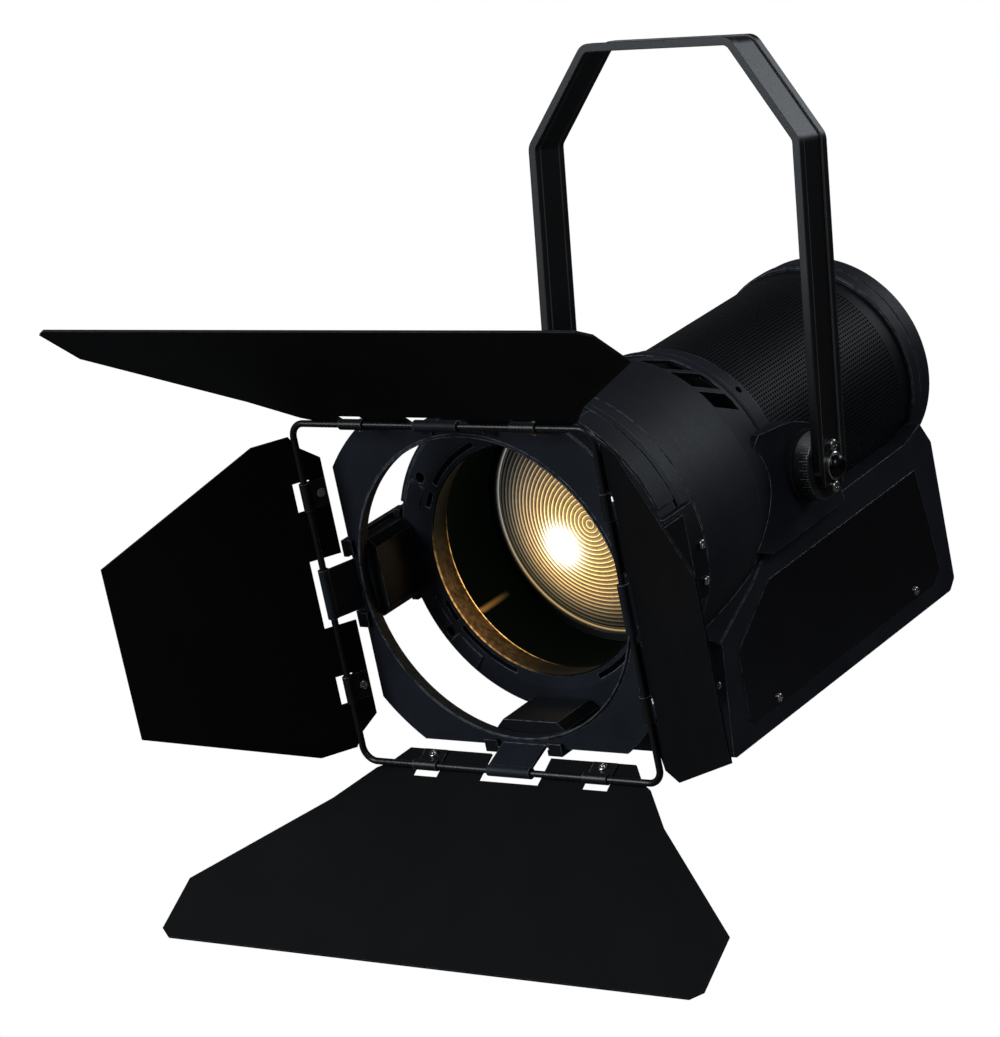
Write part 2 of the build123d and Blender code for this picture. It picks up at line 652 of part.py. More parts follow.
def focus_knob():
    x, z = on_circle(ROD_CIRCLE, SCREW_ANGLE)
    start = CAP_BACK + 0.4
    knob = rod_y(9.4, start, start + 15, x, z)
    for i in range(18):
        dx, dz = on_circle(9.9, 20 * i)
        knob -= rod_y(0.9, start + 2, start + 16, x + dx, z + dz)
    return knob - rod_y(3.0, start - 1, CAP_BACK + 12, x, z)


def led_deck():
    deck = rod_y(70.5, DECK_FRONT, DECK_FRONT + 4)
    for angle in ROD_ANGLES:
        x, z = on_circle(ROD_CIRCLE, angle)
        deck -= rod_y(ROD_RADIUS, DECK_FRONT - 1, DECK_FRONT + 3, x, z)
    x, z = on_circle(ROD_CIRCLE, SCREW_ANGLE)
    return deck - rod_y(SCREW_RADIUS + FIT_GAP, DECK_FRONT - 1, DECK_FRONT + 5, x, z)


def led_module():
    """Square carrier, holder frame and the round light-emitting surface."""
    board = box_between((-23, DECK_FRONT - 2.2, -23), (23, DECK_FRONT - 0.05, 23))
    holder = rod_y(19, DECK_FRONT - 4.5, DECK_FRONT - 2.1)
    emitter = rod_y(15, DECK_FRONT - 5.1, DECK_FRONT - 4.4)
    return board + holder + emitter


def heat_sink():
    front = DECK_FRONT + 4.1
    back = 330.0
    sink = rod_y(21, front, back)
    sink += rod_y(44, front, front + 6)
    fin = box_between((20, front, -0.75), (52, back, 0.75))
    for i in range(20):
        sink += about_axis(fin, 18 * i + 9)
    return sink


FAN_FRONT = 336.0
FAN_HALF = 46.0


def fan_frame():
    frame = box_between((-FAN_HALF, FAN_FRONT, -FAN_HALF), (FAN_HALF, FAN_FRONT + 25, FAN_HALF))
    frame = chamfer(frame.edges().filter_by(Axis.Y), 4)
    frame -= rod_y(43.5, FAN_FRONT - 1, FAN_FRONT + 26)
    hub = rod_y(17, FAN_FRONT + 22, FAN_FRONT + 25)
    for i in range(3):
        hub += about_axis(box_between((0, FAN_FRONT + 22, -2), (45, FAN_FRONT + 25, 2)), 120 * i)
    return frame + hub


def fan_rotor():
    rotor = rod_y(17.5, FAN_FRONT + 3, FAN_FRONT + 21)
    blade = Rot(35, 0, 0) * Box(27, 1.6, 20)
    for i in range(7):
        rotor += about_axis(Pos(29, FAN_FRONT + 12, 0) * blade, 360 / 7 * i)
    rotor -= rod_y(2, FAN_FRONT + 2, FAN_FRONT + 10)
    return rotor & rod_y(42.3, FAN_FRONT + 2, FAN_FRONT + 21)


def perforated_screen():
    """Rolled sheet round the heat sink."""
    return tube_y(SCREEN_RADIUS - 1.0, SCREEN_RADIUS, DRUM_BACK + 1.5, SCREEN_BACK)


def rear_cap():
    lip = SCREEN_RADIUS + 0.1
    cap = turned([
        (lip, CAP_FRONT), (CAP_RADIUS - 0.8, CAP_FRONT), (CAP_RADIUS, CAP_FRONT + 0.8),
        (CAP_RADIUS, CAP_FRONT + 9), (CAP_RADIUS - 1.0, CAP_FRONT + 9.8), (CAP_RADIUS - 1.0, CAP_FRONT + 11),
        (CAP_RADIUS - 0.6, CAP_FRONT + 11.8), (CAP_BACK_RADIUS + 2.0, CAP_BACK - 3),
        (CAP_BACK_RADIUS, CAP_BACK), (0, CAP_BACK), (0, CAP_BACK - 3),
        (CAP_BACK_RADIUS - 3, CAP_BACK - 3), (lip, CAP_FRONT + 9),
    ])
    # fan grille: ring slots broken by spokes
    spokes = joined([about_axis(box_between((0, CAP_BACK - 8, -2), (50, CAP_BACK + 2, 2)), 90 * i + 45)
                     for i in range(4)])
    for inner in (12, 20, 28, 36):
        slot = tube_y(inner, inner + 4.5, CAP_BACK - 5, CAP_BACK + 1)
        cap -= slot - spokes
    x, z = on_circle(ROD_CIRCLE, SCREW_ANGLE)
    return cap - rod_y(3.0 + FIT_GAP, CAP_BACK - 8, CAP_BACK + 1, x, z)


# ---------------------------------------------------------------- electronics box
BOX_BOTTOM = -144.5
BOX_FRONT_FOOT = (117.0, BOX_BOTTOM)
BOX_FRONT_HEAD = (127.0, -74.0)
BOX_OUTLINE = [
    BOX_FRONT_FOOT, BOX_FRONT_HEAD, (168.0, -55.0), (188.0, -41.3), (227.0, -39.1), (356.0, -37.2),
    (377.0, -31.5), (BOX_BACK, -46.8), (BOX_BACK, BOX_BOTTOM + 6), (BOX_BACK - 7, BOX_BOTTOM),
]
BOX_INSIDE = [
    (120.0, BOX_BOTTOM + WALL), (129.2, -76.0), (169.0, -57.6), (189.0, -43.9), (227.0, -41.6),
    (356.0, -39.7), (376.0, -34.6), (BOX_BACK - 2.4, -48.0), (BOX_BACK - 2.4, BOX_BOTTOM + 7),
    (BOX_BACK - 8, BOX_BOTTOM + WALL),
]
PANEL_OUTLINE = [
    (184.2, -58.2), (361.8, -56.3), (371.3, -125.5), (360.8, -133.6), (146.0, -133.6), (139.4, -128.9),
    (141.3, -88.8), (144.6, -83.8),
]
PANEL_SCREWS = ((172.3, -129.0), (338.9, -128.4))
EDGE_SCREW_X = 66.0
FRONT_SCREW_Z = -100.0
REAR_SCREW_Z = -58.0


def lamp_clearance(gap):
    """Everything that the drum, collar, screen and cap fill, with a gap round them."""
    line = [(radius + gap, y) for radius, y in drum_outline(0)]
    line += [(72.2 + gap, DRUM_BACK + 0.2), (72.2 + gap, 222.4), (SCREEN_RADIUS + gap, 222.4)]
    line += [(SCREEN_RADIUS + gap, CAP_FRONT - 0.4), (CAP_RADIUS + gap, CAP_FRONT - 0.4)]
    line += [(CAP_RADIUS + gap, CAP_BACK + 5)]
    front = [(BEZEL_RADIUS + gap, BEZEL_FRONT), (BEZEL_RADIUS + gap, BEZEL_BACK + 0.2)]
    return turned([(0, BEZEL_FRONT), *front, *line, (0, CAP_BACK + 5)])


SHOULDER_OUTLINE = [
    (104.0, -50.0), (190.0, -25.0), (190.0, -43.5), (168.5, -57.2), (127.5, -76.2), (112.0, -66.0),
]
CHEEK_OUTLINE = [
    (172.0, -36.0), (176.0, 14.0), (194.3, 29.0), (204.2, 27.9), (217.5, 26.7), (231.6, 24.0),
    (247.0, 17.7), (257.0, 9.0), (PIVOT_Y + 27, PIVOT_Z), (PIVOT_Y + 35, -41.0), (187.0, -43.0),
]
CHEEK_EDGE = 213.0        # the cheek's face slants inwards in front of this


def pivot_cheek():
    """Cheek on the right that carries the pivot and runs forward onto the drum."""
    block = side_prism(CHEEK_OUTLINE, 52, CHEEK_FACE)
    plan = make_face(Polyline((50, 165), (CHEEK_FACE - 2.8, 165), (CHEEK_FACE, CHEEK_EDGE),
                              (CHEEK_FACE, 275), (50, 275), close=True))
    return block & (Pos(0, 0, -60) * extrude(plan, amount=110))


def chassis():
    box = side_prism(BOX_OUTLINE, -BOX_HALF, BOX_HALF)
    upright = box.edges().filter_by(Axis.X)
    box = fillet([e for e in upright if e.center().Z < -130], 3)
    inside = side_prism(BOX_INSIDE, -BOX_HALF + WALL, BOX_HALF - WALL)
    box -= inside
    for side in (-1, 1):
        cheek = pivot_cheek()
        box += cheek if side > 0 else mirror(cheek, about=Plane.YZ)
    # shoulders that close the wedge between the drum and the box's sides
    box += side_prism(SHOULDER_OUTLINE, -BOX_HALF + 1.2, BOX_HALF - 1.2)
    box -= lamp_clearance(0.2)
    box -= rod_x(PIVOT_RADIUS, -90, 90, PIVOT_Y, PIVOT_Z)
    # seats for the side panels
    for side in (-1, 1):
        edge = side * BOX_HALF
        seat = side_prism(PANEL_OUTLINE, min(edge, edge - side * 1.2), max(edge, edge - side * 1.2))
        box -= seat
        for y, z in PANEL_SCREWS:
            box -= rod_x(1.55, edge - side * 6, edge + side, y, z)
    for spot in edge_screw_spots():
        box -= spot * rod_x(1.55, -6, 1)
    # opening for the rear panel
    box -= box_between((-PANEL_HALF, BOX_BACK - 5, PANEL_BOTTOM), (PANEL_HALF, BOX_BACK + 5, PANEL_TOP))
    return box


def side_panel(side):
    """Glossy cover plate, standing slightly proud of the box's side."""
    edge = BOX_HALF + 0.4
    inner = BOX_HALF - 1.15
    plate = side_prism(PANEL_OUTLINE, inner, edge)
    outline = plate.edges().filter_by(Axis.X)
    plate = fillet(outline, 1.5)
    for y, z in PANEL_SCREWS:
        plate -= rod_x(1.6, 60, 90, y, z)
    return plate if side > 0 else mirror(plate, about=Plane.YZ)


def edge_screw_spots():
    """Places of the screws in the box's front and rear ends, heads facing outwards."""
    run = BOX_FRONT_HEAD[0] - BOX_FRONT_FOOT[0]
    rise = BOX_FRONT_HEAD[1] - BOX_FRONT_FOOT[1]
    front_y = BOX_FRONT_FOOT[0] + (FRONT_SCREW_Z - BOX_BOTTOM) * run / rise
    lean = degrees(atan2(run, rise))
    spots = []
    for x in (-EDGE_SCREW_X, EDGE_SCREW_X):
        spots.append(Pos(x, front_y, FRONT_SCREW_Z) * Rot(0, 0, -90) * Rot(0, -lean, 0))
        spots.append(Pos(x, BOX_BACK, REAR_SCREW_Z) * Rot(0, 0, 90))
    return spots


def panel_screws():
    """Screws of the side panels, and the ones in the box's front and rear ends."""
    screw = cross_screw(2.7, 1.5, 1.5, 4.4)
    group = []
    for turn in (0, 180):
        for y, z in PANEL_SCREWS:
            spot = Pos(0, y, z) * Rot(0, 0, turn) * Pos(BOX_HALF + 0.42, 0, 0)
            group.append(spot * screw)
    for spot in edge_screw_spots():
        group.append(spot * Pos(0.02, 0, 0) * screw)
    return Compound(children=group)


BUTTON_X = (16.0, 29.0, 42.0, 55.0)
BUTTON_Z = -90.0
DISPLAY_X = -26.0
DATA_X = (-46.0, -14.0)
INLET_X = 17.0
SWITCH_X = 47.0
LOWER_ROW_Z = -120.3


def rear_panel():
    panel = box_between((-PANEL_HALF + 0.1, BOX_BACK - 2.2, PANEL_BOTTOM + 0.1),
                        (PANEL_HALF - 0.1, BOX_BACK, PANEL_TOP - 0.1))
    for x in BUTTON_X:
        panel -= rod_y(3.5 + FIT_GAP, BOX_BACK - 5, BOX_BACK + 5, x, BUTTON_Z)
    panel -= box_between((DISPLAY_X - 26, BOX_BACK - 5, BUTTON_Z - 11),
                         (DISPLAY_X + 26, BOX_BACK + 5, BUTTON_Z + 11))
    for x in DATA_X + (INLET_X,):
        panel -= rod_y(12.0, BOX_BACK - 5, BOX_BACK + 5, x, LOWER_ROW_Z)
    panel -= box_between((SWITCH_X - 6.8, BOX_BACK - 5, LOWER_ROW_Z - 10.8),
                         (SWITCH_X + 6.8, BOX_BACK + 5, LOWER_ROW_Z + 10.8))
    return panel


def display_window():
    window = box_between((DISPLAY_X - 25.9, BOX_BACK - 3, BUTTON_Z - 10.9),
                         (DISPLAY_X + 25.9, BOX_BACK + 0.6, BUTTON_Z + 10.9))
    return chamfer(window.faces().sort_by(Axis.Y)[-1].edges(), 0.5)


def menu_button(index):
    x = BUTTON_X[index]
    button = rod_y(3.5, BOX_BACK - 4, BOX_BACK + 2.5, x, BUTTON_Z)
    return fillet(button.edges().filter_by(GeomType.CIRCLE).sort_by(Axis.Y)[-1], 0.8)


def socket_flange(x):
    """Rounded flange outside the rear panel, centred on x in the lower row."""
    flange = box_between((x - 13, BOX_BACK + 0.05, LOWER_ROW_Z - 15.5),
                         (x + 13, BOX_BACK + 2, LOWER_ROW_Z + 15.5))
    return fillet(flange.edges().filter_by(Axis.Y), 2)


def data_connectors():
    """Two round three-pin data sockets with square flanges."""
    group = []
    for x in DATA_X:
        flange = socket_flange(x)
        shell = rod_y(11.9, BOX_BACK - 16, BOX_BACK + 2, x, LOWER_ROW_Z)
        socket = flange + shell - rod_y(9.0, BOX_BACK - 11, BOX_BACK + 4, x, LOWER_ROW_Z)
        for angle in (90, 210, 330):
            dx, dz = on_circle(4.0, angle)
            socket += rod_y(1.2, BOX_BACK - 12, BOX_BACK - 1, x + dx, LOWER_ROW_Z + dz)
        group.append(socket)
    return Compound(children=group)


def power_inlet():
    """Round locking mains inlet; the cord is a separate lead."""
    x = INLET_X
    flange = socket_flange(x)
    shell = rod_y(11.9, BOX_BACK - 20, BOX_BACK + 4.5, x, LOWER_ROW_Z)
    inlet = flange + shell - rod_y(9.6, BOX_BACK - 15, BOX_BACK + 6, x, LOWER_ROW_Z)
    inlet += rod_y(5.5, BOX_BACK - 16, BOX_BACK + 2, x, LOWER_ROW_Z)
    return inlet


def power_switch():
    """Rocker on two short trunnions, pressed in at the top at rest."""
    flank = [(BOX_BACK - 7, 7), (BOX_BACK + 0.6, 9.6), (BOX_BACK + 2.4, 9.0)]
    lower = [(y, LOWER_ROW_Z - rise) for y, rise in flank]
    upper = [(y, LOWER_ROW_Z + rise) for y, rise in flank[::-1]]
    outline = lower + [(BOX_BACK + 0.8, LOWER_ROW_Z)] + upper
    rocker = side_prism(outline, SWITCH_X - 6, SWITCH_X + 6)
    rocker += rod_x(1.6, SWITCH_X - 6.7, SWITCH_X + 6.7, BOX_BACK - 2, LOWER_ROW_Z)
    pivot = Pos(0, BOX_BACK - 2, LOWER_ROW_Z)
    return pivot * Rot(-6, 0, 0) * pivot.inverse() * rocker


def led_driver():
    """Closed power-supply case on the floor of the box."""
    case = box_between((-52, 205, BOX_BOTTOM + WALL + SEAT_GAP), (52, 340, -100))
    case = fillet(case.edges().filter_by(Axis.Z), 2)
    for i in range(9):
        x = 10 * i - 40
        case -= box_between((x - 1.2, 230, -101.2), (x + 1.2, 320, -99))
    return case


def control_board():
    """Circuit board behind the rear panel, with its row of parts and the front connector block."""
    board = box_between((-60, 352, BOX_BOTTOM + WALL + SEAT_GAP), (60, 353.6, -78))
    board += box_between((-50, 346.5, -104), (-30, 352.1, -84))
    board += box_between((-10, 349, -100), (10, 352.1, -88))
    for i in range(4):
        board += rod_y(4, 353.5, 362, 20 + 10 * i, -132)
    return board


def base_feet():
    """Four rubber feet under the box."""
    foot = Pos(0, 0, BOX_BOTTOM - SEAT_GAP / 2 - 2) * Cylinder(7, 4)
    return Compound(children=[Pos(x, y, 0) * foot for x in (-55, 55) for y in (140, 350)])


# ---------------------------------------------------------------- write the pieces
def main():
    os.makedirs(PARTS, exist_ok=True)

    save("yoke", yoke())
    save("tilt_scale_disc", scale_disc(1))
    save("tilt_disc_left", scale_disc(-1))
    save("disc_screws", disc_screws())

    save_tilted("pivot_bolt", pivot_bolt())
    save_tilted("pivot_stud", pivot_stud())
    save_tilted("friction_washers", friction_washers())
    save_tilted("tilt_lock_knob", tilt_lock_knob())

    save_tilted("front_bezel", front_bezel() + latch_hinge())
    save_tilted("opening_liner", opening_liner())
    save_tilted("lens_tube", lens_tube())
    save_tilted("drum_housing", drum_housing())
    save_tilted("drum_collar", drum_collar())
    for name, turn in LUG_TURN.items():
        save_tilted(f"lug_{name}", about_axis(lug(), turn))
    save_tilted("lug_screws", lug_screws())
    save_tilted("top_latch", top_latch())

    save_tilted("barndoor_ring", barndoor_ring())
    save_tilted("barndoor_wire", barndoor_wire())
    for name in LEAF_NAMES:
        save_tilted(f"leaf_{name}", on_leaf_hinge(leaf(name), name))
        save_tilted(f"clips_{name}", on_leaf_hinge(clips(), name))
        save_tilted(f"clip_screws_{name}", on_leaf_hinge(clip_screws(), name))

    save_tilted("fresnel_lens", fresnel_lens())
    save_tilted("lens_carriage", lens_carriage())
    save_tilted("guide_rods", guide_rods())
    save_tilted("focus_screw", focus_screw())
    save_tilted("focus_knob", focus_knob())
    save_tilted("led_deck", led_deck())
    save_tilted("led_module", led_module())
    save_tilted("heat_sink", heat_sink())
    save_tilted("fan_frame", fan_frame())
    save_tilted("fan_rotor", fan_rotor())
    save_tilted("perforated_screen", perforated_screen())
    save_tilted("rear_cap", rear_cap())

    save_tilted("chassis", chassis())
    save_tilted("side_panel_right", side_panel(1))
    save_tilted("side_panel_left", side_panel(-1))
    save_tilted("panel_screws", panel_screws())
    save_tilted("rear_panel", rear_panel())
    save_tilted("display_window", display_window())
    for index in range(len(BUTTON_X)):
        save_tilted(f"menu_button_{index + 1}", menu_button(index))
    save_tilted("data_connectors", data_connectors())
    save_tilted("power_inlet", power_inlet())
    save_tilted("power_switch", power_switch())
    save_tilted("led_driver", led_driver())
    save_tilted("control_board", control_board())
    save_tilted("base_feet", base_feet())


main()
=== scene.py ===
"""Looks of the fresnel spotlight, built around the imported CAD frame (metres, Z up)."""
import json
from math import cos, pi, radians, sin

import bmesh
import bpy
from mathutils import Matrix, Vector


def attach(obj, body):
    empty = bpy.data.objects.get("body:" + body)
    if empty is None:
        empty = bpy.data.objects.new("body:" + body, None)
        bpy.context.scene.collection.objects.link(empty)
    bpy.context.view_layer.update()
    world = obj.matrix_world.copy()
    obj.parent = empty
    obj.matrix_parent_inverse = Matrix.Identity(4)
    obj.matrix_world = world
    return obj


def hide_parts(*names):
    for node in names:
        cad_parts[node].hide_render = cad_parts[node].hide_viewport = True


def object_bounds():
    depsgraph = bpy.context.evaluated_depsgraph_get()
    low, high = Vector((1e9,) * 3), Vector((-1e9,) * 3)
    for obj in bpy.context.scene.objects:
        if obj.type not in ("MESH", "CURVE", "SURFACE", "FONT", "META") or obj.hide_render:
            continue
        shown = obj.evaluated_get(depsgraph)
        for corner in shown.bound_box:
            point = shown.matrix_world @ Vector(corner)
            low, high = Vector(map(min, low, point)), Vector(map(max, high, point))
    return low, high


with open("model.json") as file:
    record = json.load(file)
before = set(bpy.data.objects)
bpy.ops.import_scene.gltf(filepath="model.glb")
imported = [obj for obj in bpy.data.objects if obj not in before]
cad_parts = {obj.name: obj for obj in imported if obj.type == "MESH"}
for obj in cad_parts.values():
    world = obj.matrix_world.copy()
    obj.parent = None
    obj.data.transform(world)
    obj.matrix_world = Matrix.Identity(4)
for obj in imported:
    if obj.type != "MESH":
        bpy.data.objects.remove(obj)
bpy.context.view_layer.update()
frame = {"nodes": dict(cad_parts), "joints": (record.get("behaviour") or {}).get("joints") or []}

nodes = frame["nodes"]
joints = {joint["name"]: joint for joint in frame["joints"]}

# ---------------------------------------------------------------- the lamp frame
# Origin at the centre of the barndoor's wire square, Y backwards along the optical axis.
sides = ("right", "top", "left", "bottom")
leaf_hinges = [joints[f"leaf_{side}_hinge"] for side in sides]
wire_centre = sum((Vector(joint["pos_m"]) for joint in leaf_hinges), Vector()) / len(leaf_hinges)
lamp_y = -Vector(joints["lens_focus"]["axis"]).normalized()
lamp_x = Vector((1, 0, 0))
lamp_z = lamp_x.cross(lamp_y)
lamp = Matrix((lamp_x, lamp_y, lamp_z)).transposed().to_4x4()
lamp.translation = wire_centre
lamp_inverse = lamp.inverted()


def lamp_box(node):
    """A CAD node's lowest and highest corners in the lamp frame."""
    points = [lamp_inverse @ vertex.co for vertex in nodes[node].data.vertices]
    low = Vector([min(point[i] for point in points) for i in range(3)])
    high = Vector([max(point[i] for point in points) for i in range(3)])
    return low, high


# ---------------------------------------------------------------- node helpers
def shader(name):
    """New node material; returns it with a function that adds and links nodes."""
    material = bpy.data.materials.new(name)
    material.use_nodes = True
    tree = material.node_tree
    principled = tree.nodes["Principled BSDF"]

    def add(kind, inputs=None, **settings):
        node = tree.nodes.new(kind)
        for key, value in settings.items():
            setattr(node, key, value)
        for key, value in (inputs or {}).items():
            if isinstance(value, bpy.types.NodeSocket):
                tree.links.new(value, node.inputs[key])
            else:
                node.inputs[key].default_value = value
        return node

    def link(output, input_name):
        tree.links.new(output, principled.inputs[input_name])

    return material, principled, add, link


def maths(add, operation, *values, **settings):
    """Value of a Math node."""
    node = add("ShaderNodeMath", dict(enumerate(values)), operation=operation, **settings)
    return node.outputs["Value"]


def ramp(add, fac, stops):
    """Colour ramp from (position, colour) stops."""
    node = add("ShaderNodeValToRGB", {"Fac": fac})
    elements = node.color_ramp.elements
    while len(elements) < len(stops):
        elements.new(0.5)
    for element, (position, colour) in zip(elements, stops):
        element.position = position
        element.color = (*colour, 1)
    return node.outputs["Color"]


def edge_mask(add, radius):
    """1 on sharp edges, 0 on flats, with the rounded normal that also lights the edges."""
    bevel = add("ShaderNodeBevel", {"Radius": radius}, samples=4)
    geometry = add("ShaderNodeNewGeometry")
    dot = add("ShaderNodeVectorMath", {0: bevel.outputs["Normal"], 1: geometry.outputs["Normal"]},
              operation="DOT_PRODUCT")
    spread = add("ShaderNodeMapRange", {"Value": dot.outputs["Value"], "From Min": 0.995, "From Max": 0.90})
    return spread.outputs["Result"], bevel.outputs["Normal"]


PAINT_MOTTLE = 0.25     # how far a painted colour strays either way, as a share of it
METAL_MOTTLE = 0.15
METAL_BEVEL = 0.0003


def coated(name, colour, edge_colour, roughness, grain, bump, wear_and_highlight=0.6, bevel=0.0006, coat=0.0,
           specular=0.5):
    """Paint or moulded plastic: mottled colour, fine grain, edges lighter with wear and painted highlights.
    """
    material, principled, add, link = shader(name)
    place = add("ShaderNodeTexCoord").outputs["Object"]
    broad = add("ShaderNodeTexNoise", {"Vector": place, "Scale": 22.0, "Detail": 4.0})
    fine = add("ShaderNodeTexNoise", {"Vector": place, "Scale": 1 / grain, "Detail": 3.0, "Roughness": 0.6})
    dark = tuple(c * (1 - PAINT_MOTTLE) for c in colour)
    light = tuple(c * (1 + PAINT_MOTTLE) for c in colour)
    base = ramp(add, broad.outputs["Fac"], [(0.35, dark), (0.65, light)])
    edges, rounded = edge_mask(add, bevel)
    chips = add("ShaderNodeTexNoise", {"Vector": place, "Scale": 160.0, "Detail": 5.0, "Roughness": 0.7})
    chipped = add("ShaderNodeMapRange", {"Value": chips.outputs["Fac"], "From Min": 0.38, "From Max": 0.56})
    # lighter edges: partly worn paint, partly painted edge highlight
    worn_and_highlit = maths(add, "MULTIPLY", edges, chipped.outputs["Result"])
    amount = maths(add, "MULTIPLY", worn_and_highlit, wear_and_highlight)
    mixed = add("ShaderNodeMix", {"Factor": amount, "A": base, "B": (*edge_colour, 1)},
                data_type="RGBA")
    link(mixed.outputs[2], "Base Color")
    rough = add("ShaderNodeMapRange", {"Value": fine.outputs["Fac"], "From Min": 0.3, "From Max": 0.7,
                                       "To Min": roughness - 0.08, "To Max": roughness + 0.08})
    link(rough.outputs["Result"], "Roughness")
    relief = add("ShaderNodeBump", {"Strength": bump, "Distance": 0.0004, "Height": fine.outputs["Fac"],
                                    "Normal": rounded})
    link(relief.outputs["Normal"], "Normal")
    principled.inputs["Specular IOR Level"].default_value = specular
    principled.inputs["Coat Weight"].default_value = coat
    principled.inputs["Coat Roughness"].default_value = 0.1
    return material


def metal(name, colour, roughness, brushed=0.0):
    """Bare or plated metal with fine scratches."""
    material, principled, add, link = shader(name)
    place = add("ShaderNodeTexCoord").outputs["Object"]
    broad = add("ShaderNodeTexNoise", {"Vector": place, "Scale": 90.0, "Detail": 5.0})
    stretch = add("ShaderNodeMapping", {"Vector": place, "Scale": (1.0, 1.0 + brushed * 30, 1.0)})
    fine = add("ShaderNodeTexNoise", {"Vector": stretch.outputs["Vector"], "Scale": 1400.0, "Detail": 2.0})
    dark = tuple(c * (1 - METAL_MOTTLE) for c in colour)
    light = tuple(min(1.0, c * (1 + METAL_MOTTLE)) for c in colour)
    base = ramp(add, broad.outputs["Fac"], [(0.3, dark), (0.7, light)])
    link(base, "Base Color")
    rough = add("ShaderNodeMapRange", {"Value": broad.outputs["Fac"], "To Min": roughness * 0.6,
                                       "To Max": roughness * 1.4})
    link(rough.outputs["Result"], "Roughness")
    rounded = add("ShaderNodeBevel", {"Radius": METAL_BEVEL}, samples=4).outputs["Normal"]
    relief = add("ShaderNodeBump", {"Strength": 0.12, "Distance": 0.0001, "Height": fine.outputs["Fac"],
                                    "Normal": rounded})
    link(relief.outputs["Normal"], "Normal")
    principled.inputs["Metallic"].default_value = 1.0
    return material


# ---------------------------------------------------------------- materials
BLUE_BLACK = (0.0170, 0.0200, 0.0280)
# colour of the lighter edges: worn paint and painted edge highlight
WORN_AND_HIGHLIT_EDGE = (0.42, 0.44, 0.48)

body_paint = coated("body_powder_coat", BLUE_BLACK, WORN_AND_HIGHLIT_EDGE, 0.50, 0.0009, 0.30, wear_and_highlight=0.9, bevel=0.0007,
                    specular=0.26)
# body paint darkened to under half: painted shade on the lugs
lug_shaded_paint = coated("lug_black", (0.0075, 0.0085, 0.0115), WORN_AND_HIGHLIT_EDGE, 0.55, 0.0009, 0.3, wear_and_highlight=0.9,
                   bevel=0.0007, specular=0.22)
leaf_paint = coated("leaf_matt_black", (0.0035, 0.0035, 0.0040), (0.12, 0.12, 0.13), 0.60, 0.0006, 0.2,
                    wear_and_highlight=0.9, bevel=0.0005, specular=0.22)
wire_paint = coated("wire_gloss_black", (0.010, 0.010, 0.011), (0.2, 0.2, 0.2), 0.28, 0.0008, 0.1, wear_and_highlight=0.3)
clip_paint = coated("clip_black", (0.010, 0.010, 0.010), (0.5, 0.5, 0.48), 0.30, 0.0006, 0.1, wear_and_highlight=1.0)
panel_gloss = coated("panel_gloss_black", (0.005, 0.005, 0.007), (0.40, 0.41, 0.43), 0.20, 0.0012, 0.02,
                     wear_and_highlight=0.8, bevel=0.0005, coat=0.5)
black_plastic = coated("moulded_black_plastic", (0.014, 0.014, 0.015), (0.06, 0.06, 0.06), 0.42, 0.0005, 0.2)
button_plastic = coated("button_grey_plastic", (0.13, 0.135, 0.14), (0.3, 0.3, 0.3), 0.45, 0.0006, 0.15)
rubber = coated("foot_rubber", (0.012, 0.012, 0.012), (0.05, 0.05, 0.05), 0.8, 0.0007, 0.4)
fibre = coated("friction_fibre", (0.010, 0.010, 0.010), (0.06, 0.06, 0.055), 0.75, 0.0004, 0.5)
board = coated("circuit_board", (0.010, 0.075, 0.035), (0.2, 0.22, 0.16), 0.35, 0.0012, 0.2)
sink_black = coated("black_anodised", (0.012, 0.012, 0.013), (0.2, 0.2, 0.2), 0.5, 0.0006, 0.1)
screw_nickel = metal("screw_nickel", (0.66, 0.63, 0.59), 0.22)
steel = metal("ground_steel", (0.52, 0.52, 0.54), 0.25, brushed=0.4)
aluminium = metal("bare_aluminium", (0.60, 0.60, 0.61), 0.38, brushed=0.6)

PIVOT_Z = joints["tilt"]["pos_m"][2]
STRAP_HALF = 0.015          # half the width of the yoke's strap
BOLT_DOME = 0.0073          # radius of the pivot bolt's dome; its plated ring lies outside
# degrees from mark to mark, a mark's width as a share of that, and its reach from the disc's outer face
SCALE_MARKS = ((5.0, 0.10, 0.0035), (15.0, 0.055, 0.0060))
disc_corners = [vertex.co for vertex in nodes["tilt_scale_disc"].data.vertices]
DISC_OUTER = max(corner.x for corner in disc_corners)
DISC_RADIUS = max(corner.y for corner in disc_corners)


def from_pivot(add):
    """Distance from the tilt axis and angle about it, in a piece that's drawn in the row's frame."""
    place = add("ShaderNodeTexCoord").outputs["Object"]
    parts = add("ShaderNodeSeparateXYZ", {"Vector": place})
    rise = maths(add, "SUBTRACT", parts.outputs["Z"], PIVOT_Z)
    flat = add("ShaderNodeCombineXYZ", {"X": 0.0, "Y": parts.outputs["Y"], "Z": rise})
    distance = add("ShaderNodeVectorMath", {0: flat.outputs["Vector"]}, operation="LENGTH").outputs["Value"]
    angle = maths(add, "ARCTAN2", rise, parts.outputs["Y"])
    return place, parts, distance, angle


